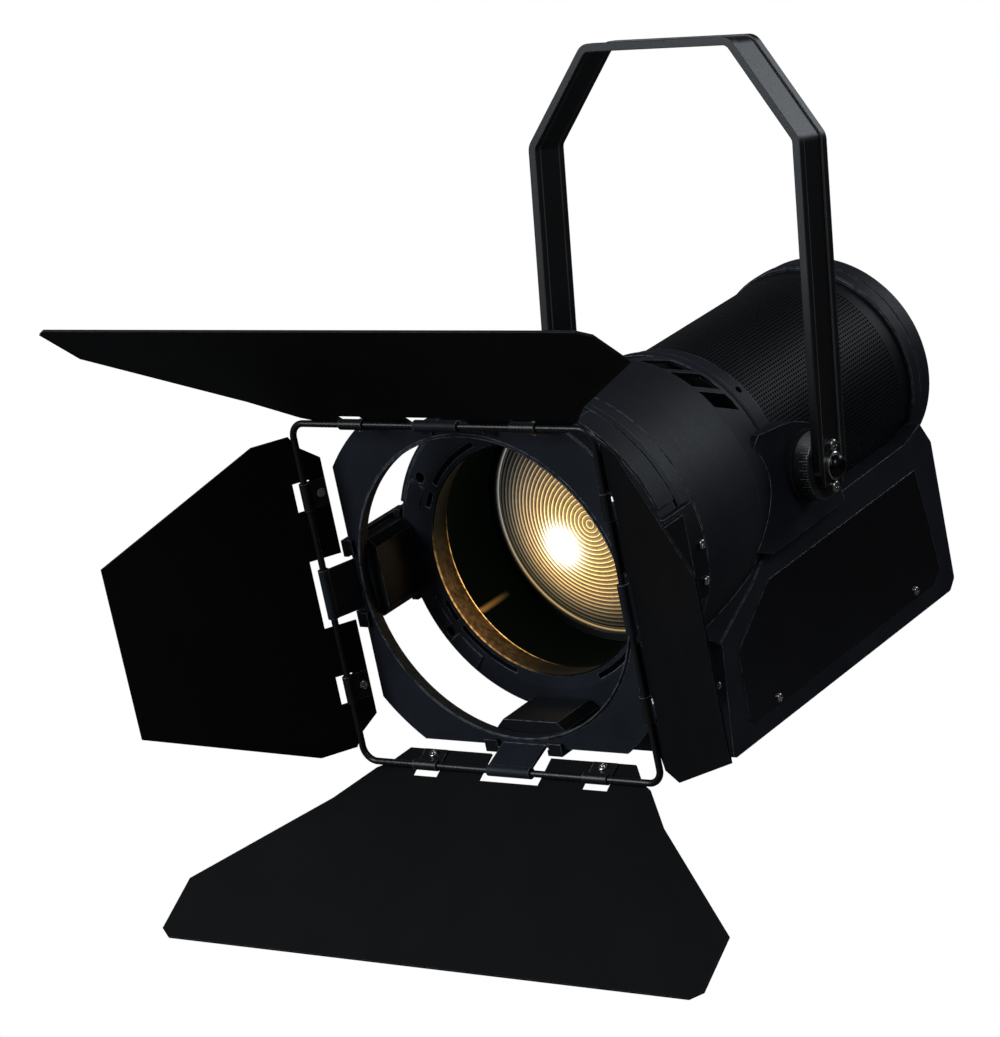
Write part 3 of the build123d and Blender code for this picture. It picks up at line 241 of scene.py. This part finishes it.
def channel_paint():
    """Yoke strap: painted shade in its middle channel, painted highlights beside it and on its outer edges.
    """
    material, principled, add, link = shader("yoke_satin_paint")
    place = add("ShaderNodeTexCoord").outputs["Object"]
    parts = add("ShaderNodeSeparateXYZ", {"Vector": place})
    across = maths(add, "ABSOLUTE", parts.outputs["Y"])
    share = maths(add, "DIVIDE", across, STRAP_HALF)
    # painted shade down the middle, painted highlights as beads beside it and as lines at the outer edges
    dark, bead, painted_highlight = (0.006, 0.006, 0.007), (0.13, 0.13, 0.14), (0.10, 0.10, 0.11)
    band = ramp(add, share, [(0.0, (0.003, 0.003, 0.004)), (0.61, (0.004, 0.004, 0.005)), (0.635, bead),
                             (0.665, bead), (0.69, dark), (0.95, dark), (0.975, painted_highlight), (0.996, dark)])
    mottle = add("ShaderNodeTexNoise", {"Vector": place, "Scale": 45.0, "Detail": 5.0})
    mottle_factor = ramp(add, mottle.outputs["Fac"], [(0.3, (0.7, 0.7, 0.7)), (0.7, (1.2, 1.2, 1.2))])
    mixed = add("ShaderNodeMix", {"Factor": 1.0, "A": band, "B": mottle_factor}, data_type="RGBA",
                blend_type="MULTIPLY")
    link(mixed.outputs[2], "Base Color")
    grain = add("ShaderNodeTexNoise", {"Vector": place, "Scale": 1300.0, "Detail": 2.0})
    rounded = add("ShaderNodeBevel", {"Radius": 0.0008}, samples=4).outputs["Normal"]
    relief = add("ShaderNodeBump", {"Strength": 0.12, "Distance": 0.0003, "Height": grain.outputs["Fac"],
                                    "Normal": rounded})
    link(relief.outputs["Normal"], "Normal")
    principled.inputs["Roughness"].default_value = 0.38
    return material


def scale_material():
    """Moulded disc, painted highlight from its top round to the back, plain marks of two lengths on its rim.
    """
    material, principled, add, link = shader("scale_disc_plastic")
    place, parts, distance, angle = from_pivot(add)
    noise = add("ShaderNodeTexNoise", {"Vector": place, "Scale": 120.0, "Detail": 5.0})
    base = ramp(add, noise.outputs["Fac"], [(0.3, (0.020, 0.020, 0.021)), (0.7, (0.045, 0.045, 0.047))])
    # painted highlight: paler from the top round to the back
    shine = add("ShaderNodeMapRange", {"Value": angle, "From Min": radians(158), "From Max": radians(128)},
                interpolation_type="SMOOTHSTEP").outputs["Result"]
    upper = maths(add, "GREATER_THAN", angle, 0.0)
    shine = maths(add, "MULTIPLY", shine, upper)
    painted_highlight = add("ShaderNodeMix", {"Factor": shine, "A": base, "B": (0.30, 0.30, 0.31, 1)}, data_type="RGBA")
    marks = []
    for step, width, reach in SCALE_MARKS:
        turns = maths(add, "DIVIDE", angle, radians(step))
        saw = maths(add, "FRACT", turns)
        line = maths(add, "LESS_THAN", saw, width)
        from_face = maths(add, "SUBTRACT", DISC_OUTER, parts.outputs["X"])
        short = maths(add, "LESS_THAN", from_face, reach)
        marks.append(maths(add, "MULTIPLY", line, short))
    short_marks, long_marks = marks
    either = maths(add, "MAXIMUM", short_marks, long_marks)
    on_rim = maths(add, "GREATER_THAN", distance, DISC_RADIUS - 0.0005)
    amount = maths(add, "MULTIPLY", either, on_rim)
    mixed = add("ShaderNodeMix", {"Factor": amount, "A": painted_highlight.outputs[2],
                                  "B": (0.55, 0.55, 0.53, 1)}, data_type="RGBA")
    link(mixed.outputs[2], "Base Color")
    relief = add("ShaderNodeBump", {"Strength": 0.08, "Distance": 0.0002, "Height": noise.outputs["Fac"]})
    link(relief.outputs["Normal"], "Normal")
    principled.inputs["Roughness"].default_value = 0.22
    principled.inputs["Coat Weight"].default_value = 0.6
    return material


def bolt_material():
    """Black glossy dome inside a bright plated ring."""
    material, principled, add, link = shader("pivot_bolt_metal")
    place, _, distance, _ = from_pivot(add)
    noise = add("ShaderNodeTexNoise", {"Vector": place, "Scale": 260.0, "Detail": 5.0})
    ring = maths(add, "GREATER_THAN", distance, BOLT_DOME)
    dome = ramp(add, noise.outputs["Fac"], [(0.3, (0.030, 0.030, 0.032)), (0.7, (0.060, 0.060, 0.062))])
    plated = ramp(add, noise.outputs["Fac"], [(0.3, (0.50, 0.49, 0.47)), (0.7, (0.72, 0.71, 0.68))])
    mixed = add("ShaderNodeMix", {"Factor": ring, "A": dome, "B": plated}, data_type="RGBA")
    link(mixed.outputs[2], "Base Color")
    rough = add("ShaderNodeMapRange", {"Value": noise.outputs["Fac"], "To Min": 0.10, "To Max": 0.26})
    link(rough.outputs["Result"], "Roughness")
    relief = add("ShaderNodeBump", {"Strength": 0.06, "Distance": 0.0001, "Height": noise.outputs["Fac"]})
    link(relief.outputs["Normal"], "Normal")
    principled.inputs["Metallic"].default_value = 1.0
    return material


def angle_about_axis(add, place):
    """Angle about the optical axis, -pi to pi, in a piece drawn in the lamp frame."""
    parts = add("ShaderNodeSeparateXYZ", {"Vector": place})
    angle = maths(add, "ARCTAN2", parts.outputs["Z"], parts.outputs["X"])
    return angle, parts


PAINTED_GLOW_SIDE = radians(-146.2)     # angle about the optical axis where the painted warm glow on the front opening is centred
RING_GLOW = 0.26                # painted glow of the gold ring's face on the warm side
RING_EDGE_GLOW = 13.0           # and the painted highlights its two edges add


def from_painted_glow_side(add, angle):
    """Angle away from the side with the painted warm glow, 0 to pi."""
    offset = maths(add, "SUBTRACT", angle, PAINTED_GLOW_SIDE)
    wrapped = maths(add, "WRAP", offset, pi, -pi)
    return maths(add, "ABSOLUTE", wrapped)


def liner_material(front, back):
    """Thin bronzed ring: gold with a painted glow on one side, brightest at its edges, green-black elsewhere.
    """
    material, principled, add, link = shader("gold_liner")
    place = add("ShaderNodeTexCoord").outputs["Object"]
    angle, parts = angle_about_axis(add, place)
    away = from_painted_glow_side(add, angle)
    painted_glow_mix = add("ShaderNodeMapRange", {"Value": away, "From Min": radians(52), "From Max": radians(2)},
               interpolation_type="SMOOTHSTEP").outputs["Result"]
    broad = add("ShaderNodeTexNoise", {"Vector": place, "Scale": 260.0, "Detail": 7.0, "Roughness": 0.7})
    grain = add("ShaderNodeTexNoise", {"Vector": place, "Scale": 900.0, "Detail": 2.0})
    gold = ramp(add, broad.outputs["Fac"], [(0.40, (0.040, 0.020, 0.006)), (0.60, (0.20, 0.105, 0.030))])
    # painted light: gold on the glowing side and green-black elsewhere, lit and shaded copies of one finish
    base = add("ShaderNodeMix", {"Factor": painted_glow_mix, "A": (0.006, 0.008, 0.005, 1), "B": gold}, data_type="RGBA")
    link(base.outputs[2], "Base Color")
    link(gold, "Emission Color")
    rear_edge = add("ShaderNodeMapRange", {"Value": parts.outputs["Y"], "From Min": back - 0.0015,
                                           "From Max": back - 0.0010}).outputs["Result"]
    front_edge = add("ShaderNodeMapRange", {"Value": parts.outputs["Y"], "From Min": front + 0.0007,
                                            "From Max": front + 0.0002, "To Max": 0.35}).outputs["Result"]
    edges = maths(add, "MAXIMUM", rear_edge, front_edge)
    lit = maths(add, "MULTIPLY_ADD", edges, RING_EDGE_GLOW, RING_GLOW)
    strength = maths(add, "MULTIPLY", lit, painted_glow_mix)
    link(strength, "Emission Strength")
    relief = add("ShaderNodeBump", {"Strength": 0.2, "Distance": 0.0002, "Height": grain.outputs["Fac"]})
    link(relief.outputs["Normal"], "Normal")
    principled.inputs["Roughness"].default_value = 0.5
    principled.inputs["Metallic"].default_value = 0.7
    return material


STREAK_HALF = radians(2.1)      # half the width of the painted glint streak in the tube
STREAK_GLOW = 0.42
TUBE_GLOW = 0.005               # faint painted glow over the whole tube


def tube_material(front):
    """Smooth dark green-black tube: faint painted glow, one warm painted glint along it fading from its front
    end.
    """
    material, principled, add, link = shader("tube_lacquer")
    place = add("ShaderNodeTexCoord").outputs["Object"]
    broad = add("ShaderNodeTexNoise", {"Vector": place, "Scale": 30.0, "Detail": 5.0})
    base = ramp(add, broad.outputs["Fac"], [(0.3, (0.0010, 0.0016, 0.0013)), (0.7, (0.0022, 0.0032, 0.0026))])
    link(base, "Base Color")
    rough = add("ShaderNodeMapRange", {"Value": broad.outputs["Fac"], "To Min": 0.50, "To Max": 0.66})
    link(rough.outputs["Result"], "Roughness")
    angle, parts = angle_about_axis(add, place)
    away = from_painted_glow_side(add, angle)
    across = add("ShaderNodeMapRange", {"Value": away, "From Min": STREAK_HALF, "From Max": 0.0},
                 interpolation_type="SMOOTHSTEP")
    along = add("ShaderNodeMapRange", {"Value": parts.outputs["Y"], "From Min": front + 0.034,
                                       "From Max": front + 0.003})
    glow = maths(add, "MULTIPLY", across.outputs["Result"], along.outputs["Result"])
    strength = maths(add, "MULTIPLY", glow, STREAK_GLOW)
    painted_glow_mix = maths(add, "MULTIPLY", glow, 6.0, use_clamp=True)
    tint = add("ShaderNodeMix", {"Factor": painted_glow_mix, "A": (0.10, 0.22, 0.13, 1),
                                 "B": (0.62, 0.29, 0.07, 1)}, data_type="RGBA")
    link(tint.outputs[2], "Emission Color")
    lifted = maths(add, "ADD", strength, TUBE_GLOW)
    link(lifted, "Emission Strength")
    principled.inputs["Specular IOR Level"].default_value = 0.02
    return material


HOT_SPOT = (-0.024, -0.015)     # centre of the painted bright spot on the lens, from the optical axis
HOT_RADIUS = 0.0110
HOT_GLOW = 3.4
RIM_GLOW = 1.1
LENS_GROOVE = 0.0028            # pitch of the lens rings
GREY_LEAN = (-9.0, 0.0, 11.0)   # towards the side where the lens's painted glow is greyer


def lens_material(rim, back):
    """Glass with painted light on its stepped face: a white spot, amber glow around it, grey towards the rim.
    """
    material, principled, add, link = shader("lit_lens_glass")
    place = add("ShaderNodeTexCoord").outputs["Object"]
    parts = add("ShaderNodeSeparateXYZ", {"Vector": place})
    flat = add("ShaderNodeCombineXYZ", {"X": parts.outputs["X"], "Y": 0.0, "Z": parts.outputs["Z"]})
    radius = add("ShaderNodeVectorMath", {0: flat.outputs["Vector"]}, operation="LENGTH").outputs["Value"]
    spot = add("ShaderNodeVectorMath", {0: flat.outputs["Vector"], 1: (HOT_SPOT[0], 0.0, HOT_SPOT[1])},
               operation="DISTANCE").outputs["Value"]
    # painted glow: slow change of tint from the middle to the rim, greyer towards the top and -X
    share = maths(add, "DIVIDE", radius, rim)
    amber = ramp(add, share, [(0.0, (0.60, 0.39, 0.13)), (0.45, (0.54, 0.34, 0.11)),
                              (0.68, (0.34, 0.21, 0.08)), (0.82, (0.10, 0.072, 0.036)),
                              (0.92, (0.018, 0.018, 0.013))])
    lean = add("ShaderNodeVectorMath", {0: flat.outputs["Vector"], 1: GREY_LEAN},
               operation="DOT_PRODUCT").outputs["Value"]
    grey_side = add("ShaderNodeMapRange", {"Value": lean, "From Min": 0.10, "From Max": 0.85,
                                           "To Max": 0.8}).outputs["Result"]
    greys = ramp(add, share, [(0.0, (0.40, 0.34, 0.24)), (0.66, (0.17, 0.155, 0.13)),
                              (0.82, (0.065, 0.064, 0.058)), (0.92, (0.018, 0.020, 0.018))])
    tinted = add("ShaderNodeMix", {"Factor": grey_side, "A": amber, "B": greys}, data_type="RGBA")
    tint = tinted.outputs[2]
    mottle = add("ShaderNodeTexNoise", {"Vector": place, "Scale": 420.0, "Detail": 4.0, "Roughness": 0.75})
    mottled = add("ShaderNodeMapRange", {"Value": mottle.outputs["Fac"], "From Min": 0.3, "From Max": 0.7,
                                         "To Min": 0.55, "To Max": 1.4}).outputs["Result"]
    # painted highlight: each ring is brighter towards its outer edge
    turns = maths(add, "DIVIDE", radius, LENS_GROOVE)
    saw = maths(add, "FRACT", turns)
    facet = add("ShaderNodeMapRange", {"Value": saw, "From Min": 0.0, "From Max": 1.0, "To Min": 0.12,
                                       "To Max": 0.80}).outputs["Result"]
    line = add("ShaderNodeMapRange", {"Value": saw, "From Min": 0.80, "From Max": 0.97, "To Min": 0.0,
                                      "To Max": 1.9}).outputs["Result"]
    body = maths(add, "MULTIPLY", facet, mottled)
    body = maths(add, "ADD", body, line)
    near = add("ShaderNodeMapRange", {"Value": spot, "From Min": 0.0, "From Max": 0.060, "To Min": 2.0,
                                      "To Max": 0.40}).outputs["Result"]
    body = maths(add, "MULTIPLY", body, near)
    core = maths(add, "DIVIDE", spot, HOT_RADIUS)
    core = maths(add, "POWER", core, 2.0)
    core = maths(add, "MULTIPLY", core, -1.0)
    core = maths(add, "EXPONENT", core)
    core = maths(add, "MULTIPLY", core, HOT_GLOW)
    white = add("ShaderNodeMapRange", {"Value": core, "From Min": 0.0, "From Max": 2.5}).outputs["Result"]
    colour = add("ShaderNodeMix", {"Factor": white, "A": tint, "B": (1.0, 0.95, 0.82, 1)}, data_type="RGBA")
    total = maths(add, "ADD", body, core)
    # painted highlights: the moulded steps at the rim show as thin bright lines
    black, half, white_line = (0, 0, 0), (0.6, 0.6, 0.6), (1, 1, 1)
    steps = ramp(add, share, [(0.940, black), (0.948, white_line), (0.958, black), (0.966, half),
                              (0.974, black), (0.990, black), (0.997, white_line)])
    glint = ramp(add, grey_side, [(0.0, (0.62, 0.42, 0.18)), (0.6, (0.34, 0.33, 0.29))])
    coloured = add("ShaderNodeMix", {"Factor": steps, "A": colour.outputs[2], "B": glint}, data_type="RGBA")
    link(coloured.outputs[2], "Emission Color")
    total = maths(add, "MULTIPLY_ADD", steps, RIM_GLOW, total)
    # only the stepped face glows, not the flat back
    front_face = maths(add, "LESS_THAN", parts.outputs["Y"], back - 0.0008)
    total = maths(add, "MULTIPLY", total, front_face)
    link(total, "Emission Strength")
    link(greys, "Base Color")
    principled.inputs["Roughness"].default_value = 0.14
    principled.inputs["IOR"].default_value = 1.5
    relief = add("ShaderNodeBump", {"Strength": 0.12, "Distance": 0.0003, "Height": mottle.outputs["Fac"]})
    link(relief.outputs["Normal"], "Normal")
    return material


def emitter_material():
    """Yellow phosphor of the light engine."""
    material, principled, add, link = shader("light_engine")
    place = add("ShaderNodeTexCoord").outputs["Object"]
    noise = add("ShaderNodeTexNoise", {"Vector": place, "Scale": 700.0, "Detail": 2.0})
    base = ramp(add, noise.outputs["Fac"], [(0.3, (0.75, 0.60, 0.16)), (0.7, (0.9, 0.78, 0.3))])
    link(base, "Base Color")
    principled.inputs["Roughness"].default_value = 0.4
    return material


def display_material():
    """Dark blue glossy window, switched off."""
    material, principled, add, link = shader("display_window")
    place = add("ShaderNodeTexCoord").outputs["Object"]
    noise = add("ShaderNodeTexNoise", {"Vector": place, "Scale": 60.0, "Detail": 3.0})
    base = ramp(add, noise.outputs["Fac"], [(0.3, (0.004, 0.010, 0.022)), (0.7, (0.007, 0.016, 0.034))])
    link(base, "Base Color")
    rough = add("ShaderNodeMapRange", {"Value": noise.outputs["Fac"], "To Min": 0.05, "To Max": 0.14})
    link(rough.outputs["Result"], "Roughness")
    principled.inputs["Coat Weight"].default_value = 0.5
    return material


def paint(material, *names):
    """Gives CAD nodes a material."""
    for name in names:
        mesh = nodes[name].data
        mesh.materials.clear()
        mesh.materials.append(material)


paint(channel_paint(), "yoke")
paint(scale_material(), "tilt_scale_disc")
paint(black_plastic, "tilt_disc_left")
paint(screw_nickel, "disc_screws", "lug_screws", "panel_screws", *[f"clip_screws_{side}" for side in sides])
paint(bolt_material(), "pivot_bolt")
paint(steel, "pivot_stud", "guide_rods", "focus_screw")
paint(fibre, "friction_washers")
paint(black_plastic, "tilt_lock_knob", "focus_knob", "fan_frame", "fan_rotor", "rear_panel",
      "data_connectors", "power_inlet", "power_switch")
paint(body_paint, "front_bezel", "drum_housing", "drum_collar", "barndoor_ring", "rear_cap", "chassis")
paint(wire_paint, "barndoor_wire")
paint(lug_shaded_paint, "lug_right", "lug_left", "lug_bottom", "top_latch")
paint(leaf_paint, *[f"leaf_{side}" for side in sides])
paint(clip_paint, *[f"clips_{side}" for side in sides])
paint(sink_black, "heat_sink", "led_deck", "lens_carriage")
paint(aluminium, "led_driver")
paint(emitter_material(), "led_module")
paint(panel_gloss, "side_panel_right", "side_panel_left")
paint(button_plastic, *[f"menu_button_{i}" for i in range(1, 5)])
paint(display_material(), "display_window")
paint(board, "control_board")
paint(rubber, "base_feet")


# ---------------------------------------------------------------- pieces
def placed(name, data):
    """New object in the scene."""
    thing = bpy.data.objects.new(name, data)
    bpy.context.scene.collection.objects.link(thing)
    return thing


def piece(name, mesh, material, body, smooth_angle=30.0):
    """New object from a mesh drawn in the lamp frame, carried by a body."""
    mesh.materials.append(material)
    thing = placed(name, mesh)
    thing.matrix_world = lamp
    for polygon in mesh.polygons:
        polygon.use_smooth = True
    mesh.set_sharp_from_angle(angle=radians(smooth_angle))
    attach(thing, body)
    return thing


def lathe(name, profile, segments=160):
    """Mesh turned about the optical axis from a closed outline of (radius, y) points in metres."""
    form = bmesh.new()
    rings = []
    for i in range(segments):
        angle = 2 * pi * i / segments
        ring = []
        for radius, y in profile:
            ring.append(form.verts.new((radius * cos(angle), y, radius * sin(angle))))
        rings.append(ring)
    count = len(profile)
    for i in range(segments):
        here, there = rings[i], rings[(i + 1) % segments]
        for k in range(count):
            n = (k + 1) % count
            form.faces.new((here[k], here[n], there[n], there[k]))
    bmesh.ops.remove_doubles(form, verts=form.verts, dist=1e-7)
    bmesh.ops.recalc_face_normals(form, faces=form.faces)
    mesh = bpy.data.meshes.new(name)
    form.to_mesh(mesh)
    form.free()
    return mesh


def build_liner():
    """Thin cone between the bezel's lip and the lens tube."""
    low, high = lamp_box("opening_liner")
    outer = high.x
    front, back = low.y, high.y
    lip_width = 0.0049
    throat_width = 0.0023
    lip = outer - lip_width
    throat = outer - throat_width
    profile = [
        (lip, front + 0.0004), (lip + 0.0003, front), (lip + 0.0009, front), (outer, back),
        (throat + 0.0004, back), (throat, back - 0.0005),
    ]
    mesh = lathe("opening_liner_ring", profile)
    thing = piece("opening_liner_ring", mesh, liner_material(front, back), "lamp")
    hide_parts("opening_liner")


def build_tube():
    """Tube round the light in front of the lens, with a flat lip at its front end."""
    low, high = lamp_box("lens_tube")
    outer = high.x
    front, back = low.y, high.y
    thickness = 0.0015
    bead = 0.0007               # the lip stands out past the tube by this, and meets it in a bevel as wide
    wall = outer - bead
    inside = wall - thickness
    lip = 0.0733                # radius of the hole in the lip
    lip_back = front + thickness
    profile = [
        (lip, front), (outer, front), (outer, lip_back), (wall, lip_back), (wall, back),
        (inside, back), (inside, lip_back + bead), (inside - bead, lip_back), (lip, lip_back),
    ]
    thing = piece("lens_tube_liner", lathe("lens_tube_liner", profile), tube_material(front), "lamp")
    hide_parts("lens_tube")


def build_lens():
    """Lens with a flat back and rim, and rings of slanted steps that rise to a low dome."""
    _, high = lamp_box("fresnel_lens")
    outer = high.x
    back = high.y
    rim_thickness = 0.006
    rim_front = back - rim_thickness
    dome = 0.0080               # how far the middle stands in front of the rim
    groove_edge = 0.0702        # radius where the rings end and the rim begins
    inner_step = 0.0002         # height of a ring's step at the middle, and what it gains by the rim
    step_gain = 0.0011
    cusp = 0.00012              # each ring stops this far short of the next
    count = int(groove_edge / LENS_GROOVE)
    profile = [(0.0, back), (outer, back), (outer, rim_front + 0.0006), (outer - 0.0006, rim_front),
               (groove_edge + 0.0012, rim_front), (groove_edge + 0.0006, rim_front + 0.0012)]

    def dome_y(radius):
        return rim_front - dome * (1 - (radius / groove_edge) ** 2)

    for i in range(count, 0, -1):
        far = i * LENS_GROOVE
        near = far - LENS_GROOVE
        step = step_gain * i / count + inner_step
        profile.append((far - cusp, dome_y(far) + step))
        profile.append((far - 0.5 * LENS_GROOVE, dome_y(far - 0.5 * LENS_GROOVE) + step * 0.35))
        if near > 1e-6:
            profile.append((near + cusp / 2, dome_y(near)))
    profile.append((0.0, dome_y(0.0)))
    mesh = lathe("stepped_lens", profile, segments=200)
    thing = piece("stepped_lens", mesh, lens_material(outer, back), "lens_carriage", smooth_angle=12.0)
    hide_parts("fresnel_lens")


def screen_material(radius):
    """Black paint on the sheet's face; painted shade makes the pits of the holes darker and without shine."""
    material, principled, add, link = shader("perforated_black")
    place = add("ShaderNodeTexCoord").outputs["Object"]
    parts = add("ShaderNodeSeparateXYZ", {"Vector": place})
    flat = add("ShaderNodeCombineXYZ", {"X": parts.outputs["X"], "Y": 0.0, "Z": parts.outputs["Z"]})
    out = add("ShaderNodeVectorMath", {0: flat.outputs["Vector"]}, operation="LENGTH").outputs["Value"]
    face = add("ShaderNodeMapRange", {"Value": out, "From Min": radius - 0.0003,
                                      "From Max": radius - 0.0001}).outputs["Result"]
    noise = add("ShaderNodeTexNoise", {"Vector": place, "Scale": 25.0, "Detail": 5.0})
    face_paint_tone = ramp(add, noise.outputs["Fac"], [(0.3, (0.0060, 0.0068, 0.0088)),
                                                   (0.7, (0.0100, 0.0112, 0.0142))])
    # painted shade: the pits of the holes are near black
    base = add("ShaderNodeMix", {"Factor": face, "A": (0.0004, 0.0004, 0.0005, 1), "B": face_paint_tone},
               data_type="RGBA")
    link(base.outputs[2], "Base Color")
    sheen = maths(add, "MULTIPLY", face, 0.20)
    link(sheen, "Specular IOR Level")
    grain = add("ShaderNodeTexNoise", {"Vector": place, "Scale": 1100.0, "Detail": 2.0})
    relief = add("ShaderNodeBump", {"Strength": 0.1, "Distance": 0.0002, "Height": grain.outputs["Fac"]})
    link(relief.outputs["Normal"], "Normal")
    principled.inputs["Roughness"].default_value = 0.5
    return material


def build_screen():
    """Rolled sheet with rows of six-sided holes; each one is a pit that narrows to a point."""
    low, high = lamp_box("perforated_screen")
    radius = high.x
    front, back = low.y, high.y
    pitch = 0.0025
    hole = 0.00088              # from a hole's middle to its corners
    depth = 0.0016
    around = int(2 * pi * radius / pitch)
    _, collar_high = lamp_box("drum_collar")
    cap_low, _ = lamp_box("rear_cap")
    behind_collar = 0.001       # plain sheet left between the collar and the first row
    before_cap = 0.0115         # and between the last row and the cap
    first = collar_high.y + behind_collar
    rows = int((cap_low.y - before_cap - first) / pitch)
    form = bmesh.new()

    def at(r, along, turn):
        angle = turn / radius
        return form.verts.new((r * cos(angle), along, r * sin(angle)))

    turn_step = 2 * pi * radius / around
    corners = [[at(radius, first + j * pitch, i * turn_step) for i in range(around)]
               for j in range(rows + 1)]
    for j in range(rows):
        along = first + (j + 0.5) * pitch
        for i in range(around):
            middle = (i + 0.5) * turn_step
            rim = []
            for k in range(6):
                a = radians(60 * k)
                rim.append(at(radius, along + hole * cos(a), middle + hole * sin(a)))
            floor = at(radius - depth, along, middle)
            n = (i + 1) % around
            c00, c10, c11, c01 = corners[j][i], corners[j + 1][i], corners[j + 1][n], corners[j][n]
            form.faces.new((c10, c11, rim[1], rim[0]))
            form.faces.new((c11, rim[2], rim[1]))
            form.faces.new((c11, c01, rim[3], rim[2]))
            form.faces.new((c01, c00, rim[4], rim[3]))
            form.faces.new((c00, rim[5], rim[4]))
            form.faces.new((c00, c10, rim[0], rim[5]))
            for k in range(6):
                form.faces.new((rim[k], rim[(k + 1) % 6], floor))
    # plain margins at both ends
    for edge_row, y in ((0, front), (rows, back)):
        end = [at(radius, y, i * turn_step) for i in range(around)]
        for i in range(around):
            n = (i + 1) % around
            form.faces.new((corners[edge_row][i], corners[edge_row][n], end[n], end[i]))
    bmesh.ops.recalc_face_normals(form, faces=form.faces)
    mesh = bpy.data.meshes.new("screen_mesh")
    form.to_mesh(mesh)
    form.free()
    thing = piece("perforated_cylinder", mesh, screen_material(radius), "lamp", smooth_angle=40.0)
    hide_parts("perforated_screen")


build_liner()
build_tube()
build_lens()
build_screen()

# ---------------------------------------------------------------- floor, light and camera
VIEW_AZIMUTH = radians(36.98)     # the camera stands this far round from the front towards +X
VIEW_ELEVATION = radians(8.44)
VIEW_ROLL = radians(4.25)
VIEW_DISTANCE = 2.457
FOCAL_LENGTH = 140.9
AIM = Vector((-0.0943, -0.0757, -0.2779))
FLOOR_DROP = 0.35                 # the lamp hangs from its yoke this far above the floor
FLOOR_HALF = 400.0                # large enough that its edge is never seen
SKY_TINT = (0.86, 0.93, 1.0)
AMBIENT = 0.06                    # what the world gives to all but the camera, which sees it white


def floor_material():
    """Floor that is white to the camera and dark grey to all other rays, so the lamp reflects little."""
    material, principled, add, link = shader("pale_floor")
    tree = material.node_tree
    place = add("ShaderNodeTexCoord").outputs["Object"]
    noise = add("ShaderNodeTexNoise", {"Vector": place, "Scale": 3.0, "Detail": 3.0})
    base = ramp(add, noise.outputs["Fac"], [(0.3, (0.10, 0.10, 0.10)), (0.7, (0.12, 0.12, 0.12))])
    link(base, "Base Color")
    principled.inputs["Roughness"].default_value = 0.9
    seen = add("ShaderNodeLightPath").outputs["Is Camera Ray"]
    white = add("ShaderNodeEmission", {"Color": (1, 1, 1, 1), "Strength": 1.0}).outputs["Emission"]
    both = add("ShaderNodeMixShader", {0: seen, 1: principled.outputs["BSDF"], 2: white}).outputs["Shader"]
    tree.links.new(both, tree.nodes["Material Output"].inputs["Surface"])
    return material


def build_stage():
    """Flat square floor below the lamp."""
    low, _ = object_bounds()
    floor_z = low[2] - FLOOR_DROP
    corners = [(x * FLOOR_HALF, y * FLOOR_HALF, floor_z) for x, y in ((-1, -1), (1, -1), (1, 1), (-1, 1))]
    mesh = bpy.data.meshes.new("floor")
    mesh.from_pydata(corners, [], [(0, 1, 2, 3)])
    floor = placed("floor", mesh)
    mesh.materials.append(floor_material())


def soft_light(name, position, target, size, power):
    """Rectangular light aimed at a point."""
    data = bpy.data.lights.new(name, "AREA")
    data.shape = "RECTANGLE"
    data.size, data.size_y = size
    data.energy = power
    data.color = SKY_TINT
    thing = placed(name, data)
    thing.location = position
    direction = Vector(target) - Vector(position)
    thing.rotation_euler = direction.to_track_quat("-Z", "Y").to_euler()


def build_light():
    """World and three soft lights: high front right, behind right, and front left."""
    world = bpy.data.worlds.new("studio")
    bpy.context.scene.world = world
    world.use_nodes = True
    tree = world.node_tree
    background = tree.nodes["Background"]
    background.inputs["Color"].default_value = (1.0, 1.0, 1.0, 1)
    seen = tree.nodes.new("ShaderNodeLightPath").outputs["Is Camera Ray"]
    strength = tree.nodes.new("ShaderNodeMapRange")
    strength.inputs["To Min"].default_value = AMBIENT
    tree.links.new(seen, strength.inputs["Value"])
    tree.links.new(strength.outputs["Result"], background.inputs["Strength"])
    middle = (0, -0.1, -0.28)
    soft_light("key", (1.6, -1.2, 1.5), middle, (1.0, 1.0), 9)
    soft_light("rim", (0.9, 1.8, 1.0), middle, (1.4, 0.7), 9)
    soft_light("fill", (-1.2, -2.4, 0.7), middle, (1.2, 1.6), 36)


def build_camera():
    """Long lens, a little above the lamp and to its right."""
    data = bpy.data.cameras.new("camera")
    data.lens = FOCAL_LENGTH
    data.sensor_width = 36.0
    camera = placed("camera", data)
    away = Vector((sin(VIEW_AZIMUTH) * cos(VIEW_ELEVATION), -cos(VIEW_AZIMUTH) * cos(VIEW_ELEVATION),
                   sin(VIEW_ELEVATION)))
    look = (-away).to_track_quat("-Z", "Y").to_matrix().to_4x4()
    roll = Matrix.Rotation(-VIEW_ROLL, 4, "Z")
    camera.matrix_world = Matrix.Translation(AIM + away * VIEW_DISTANCE) @ look @ roll
    bpy.context.scene.camera = camera


build_stage()
build_light()
build_camera()
bpy.context.scene.view_settings.view_transform = "Standard"
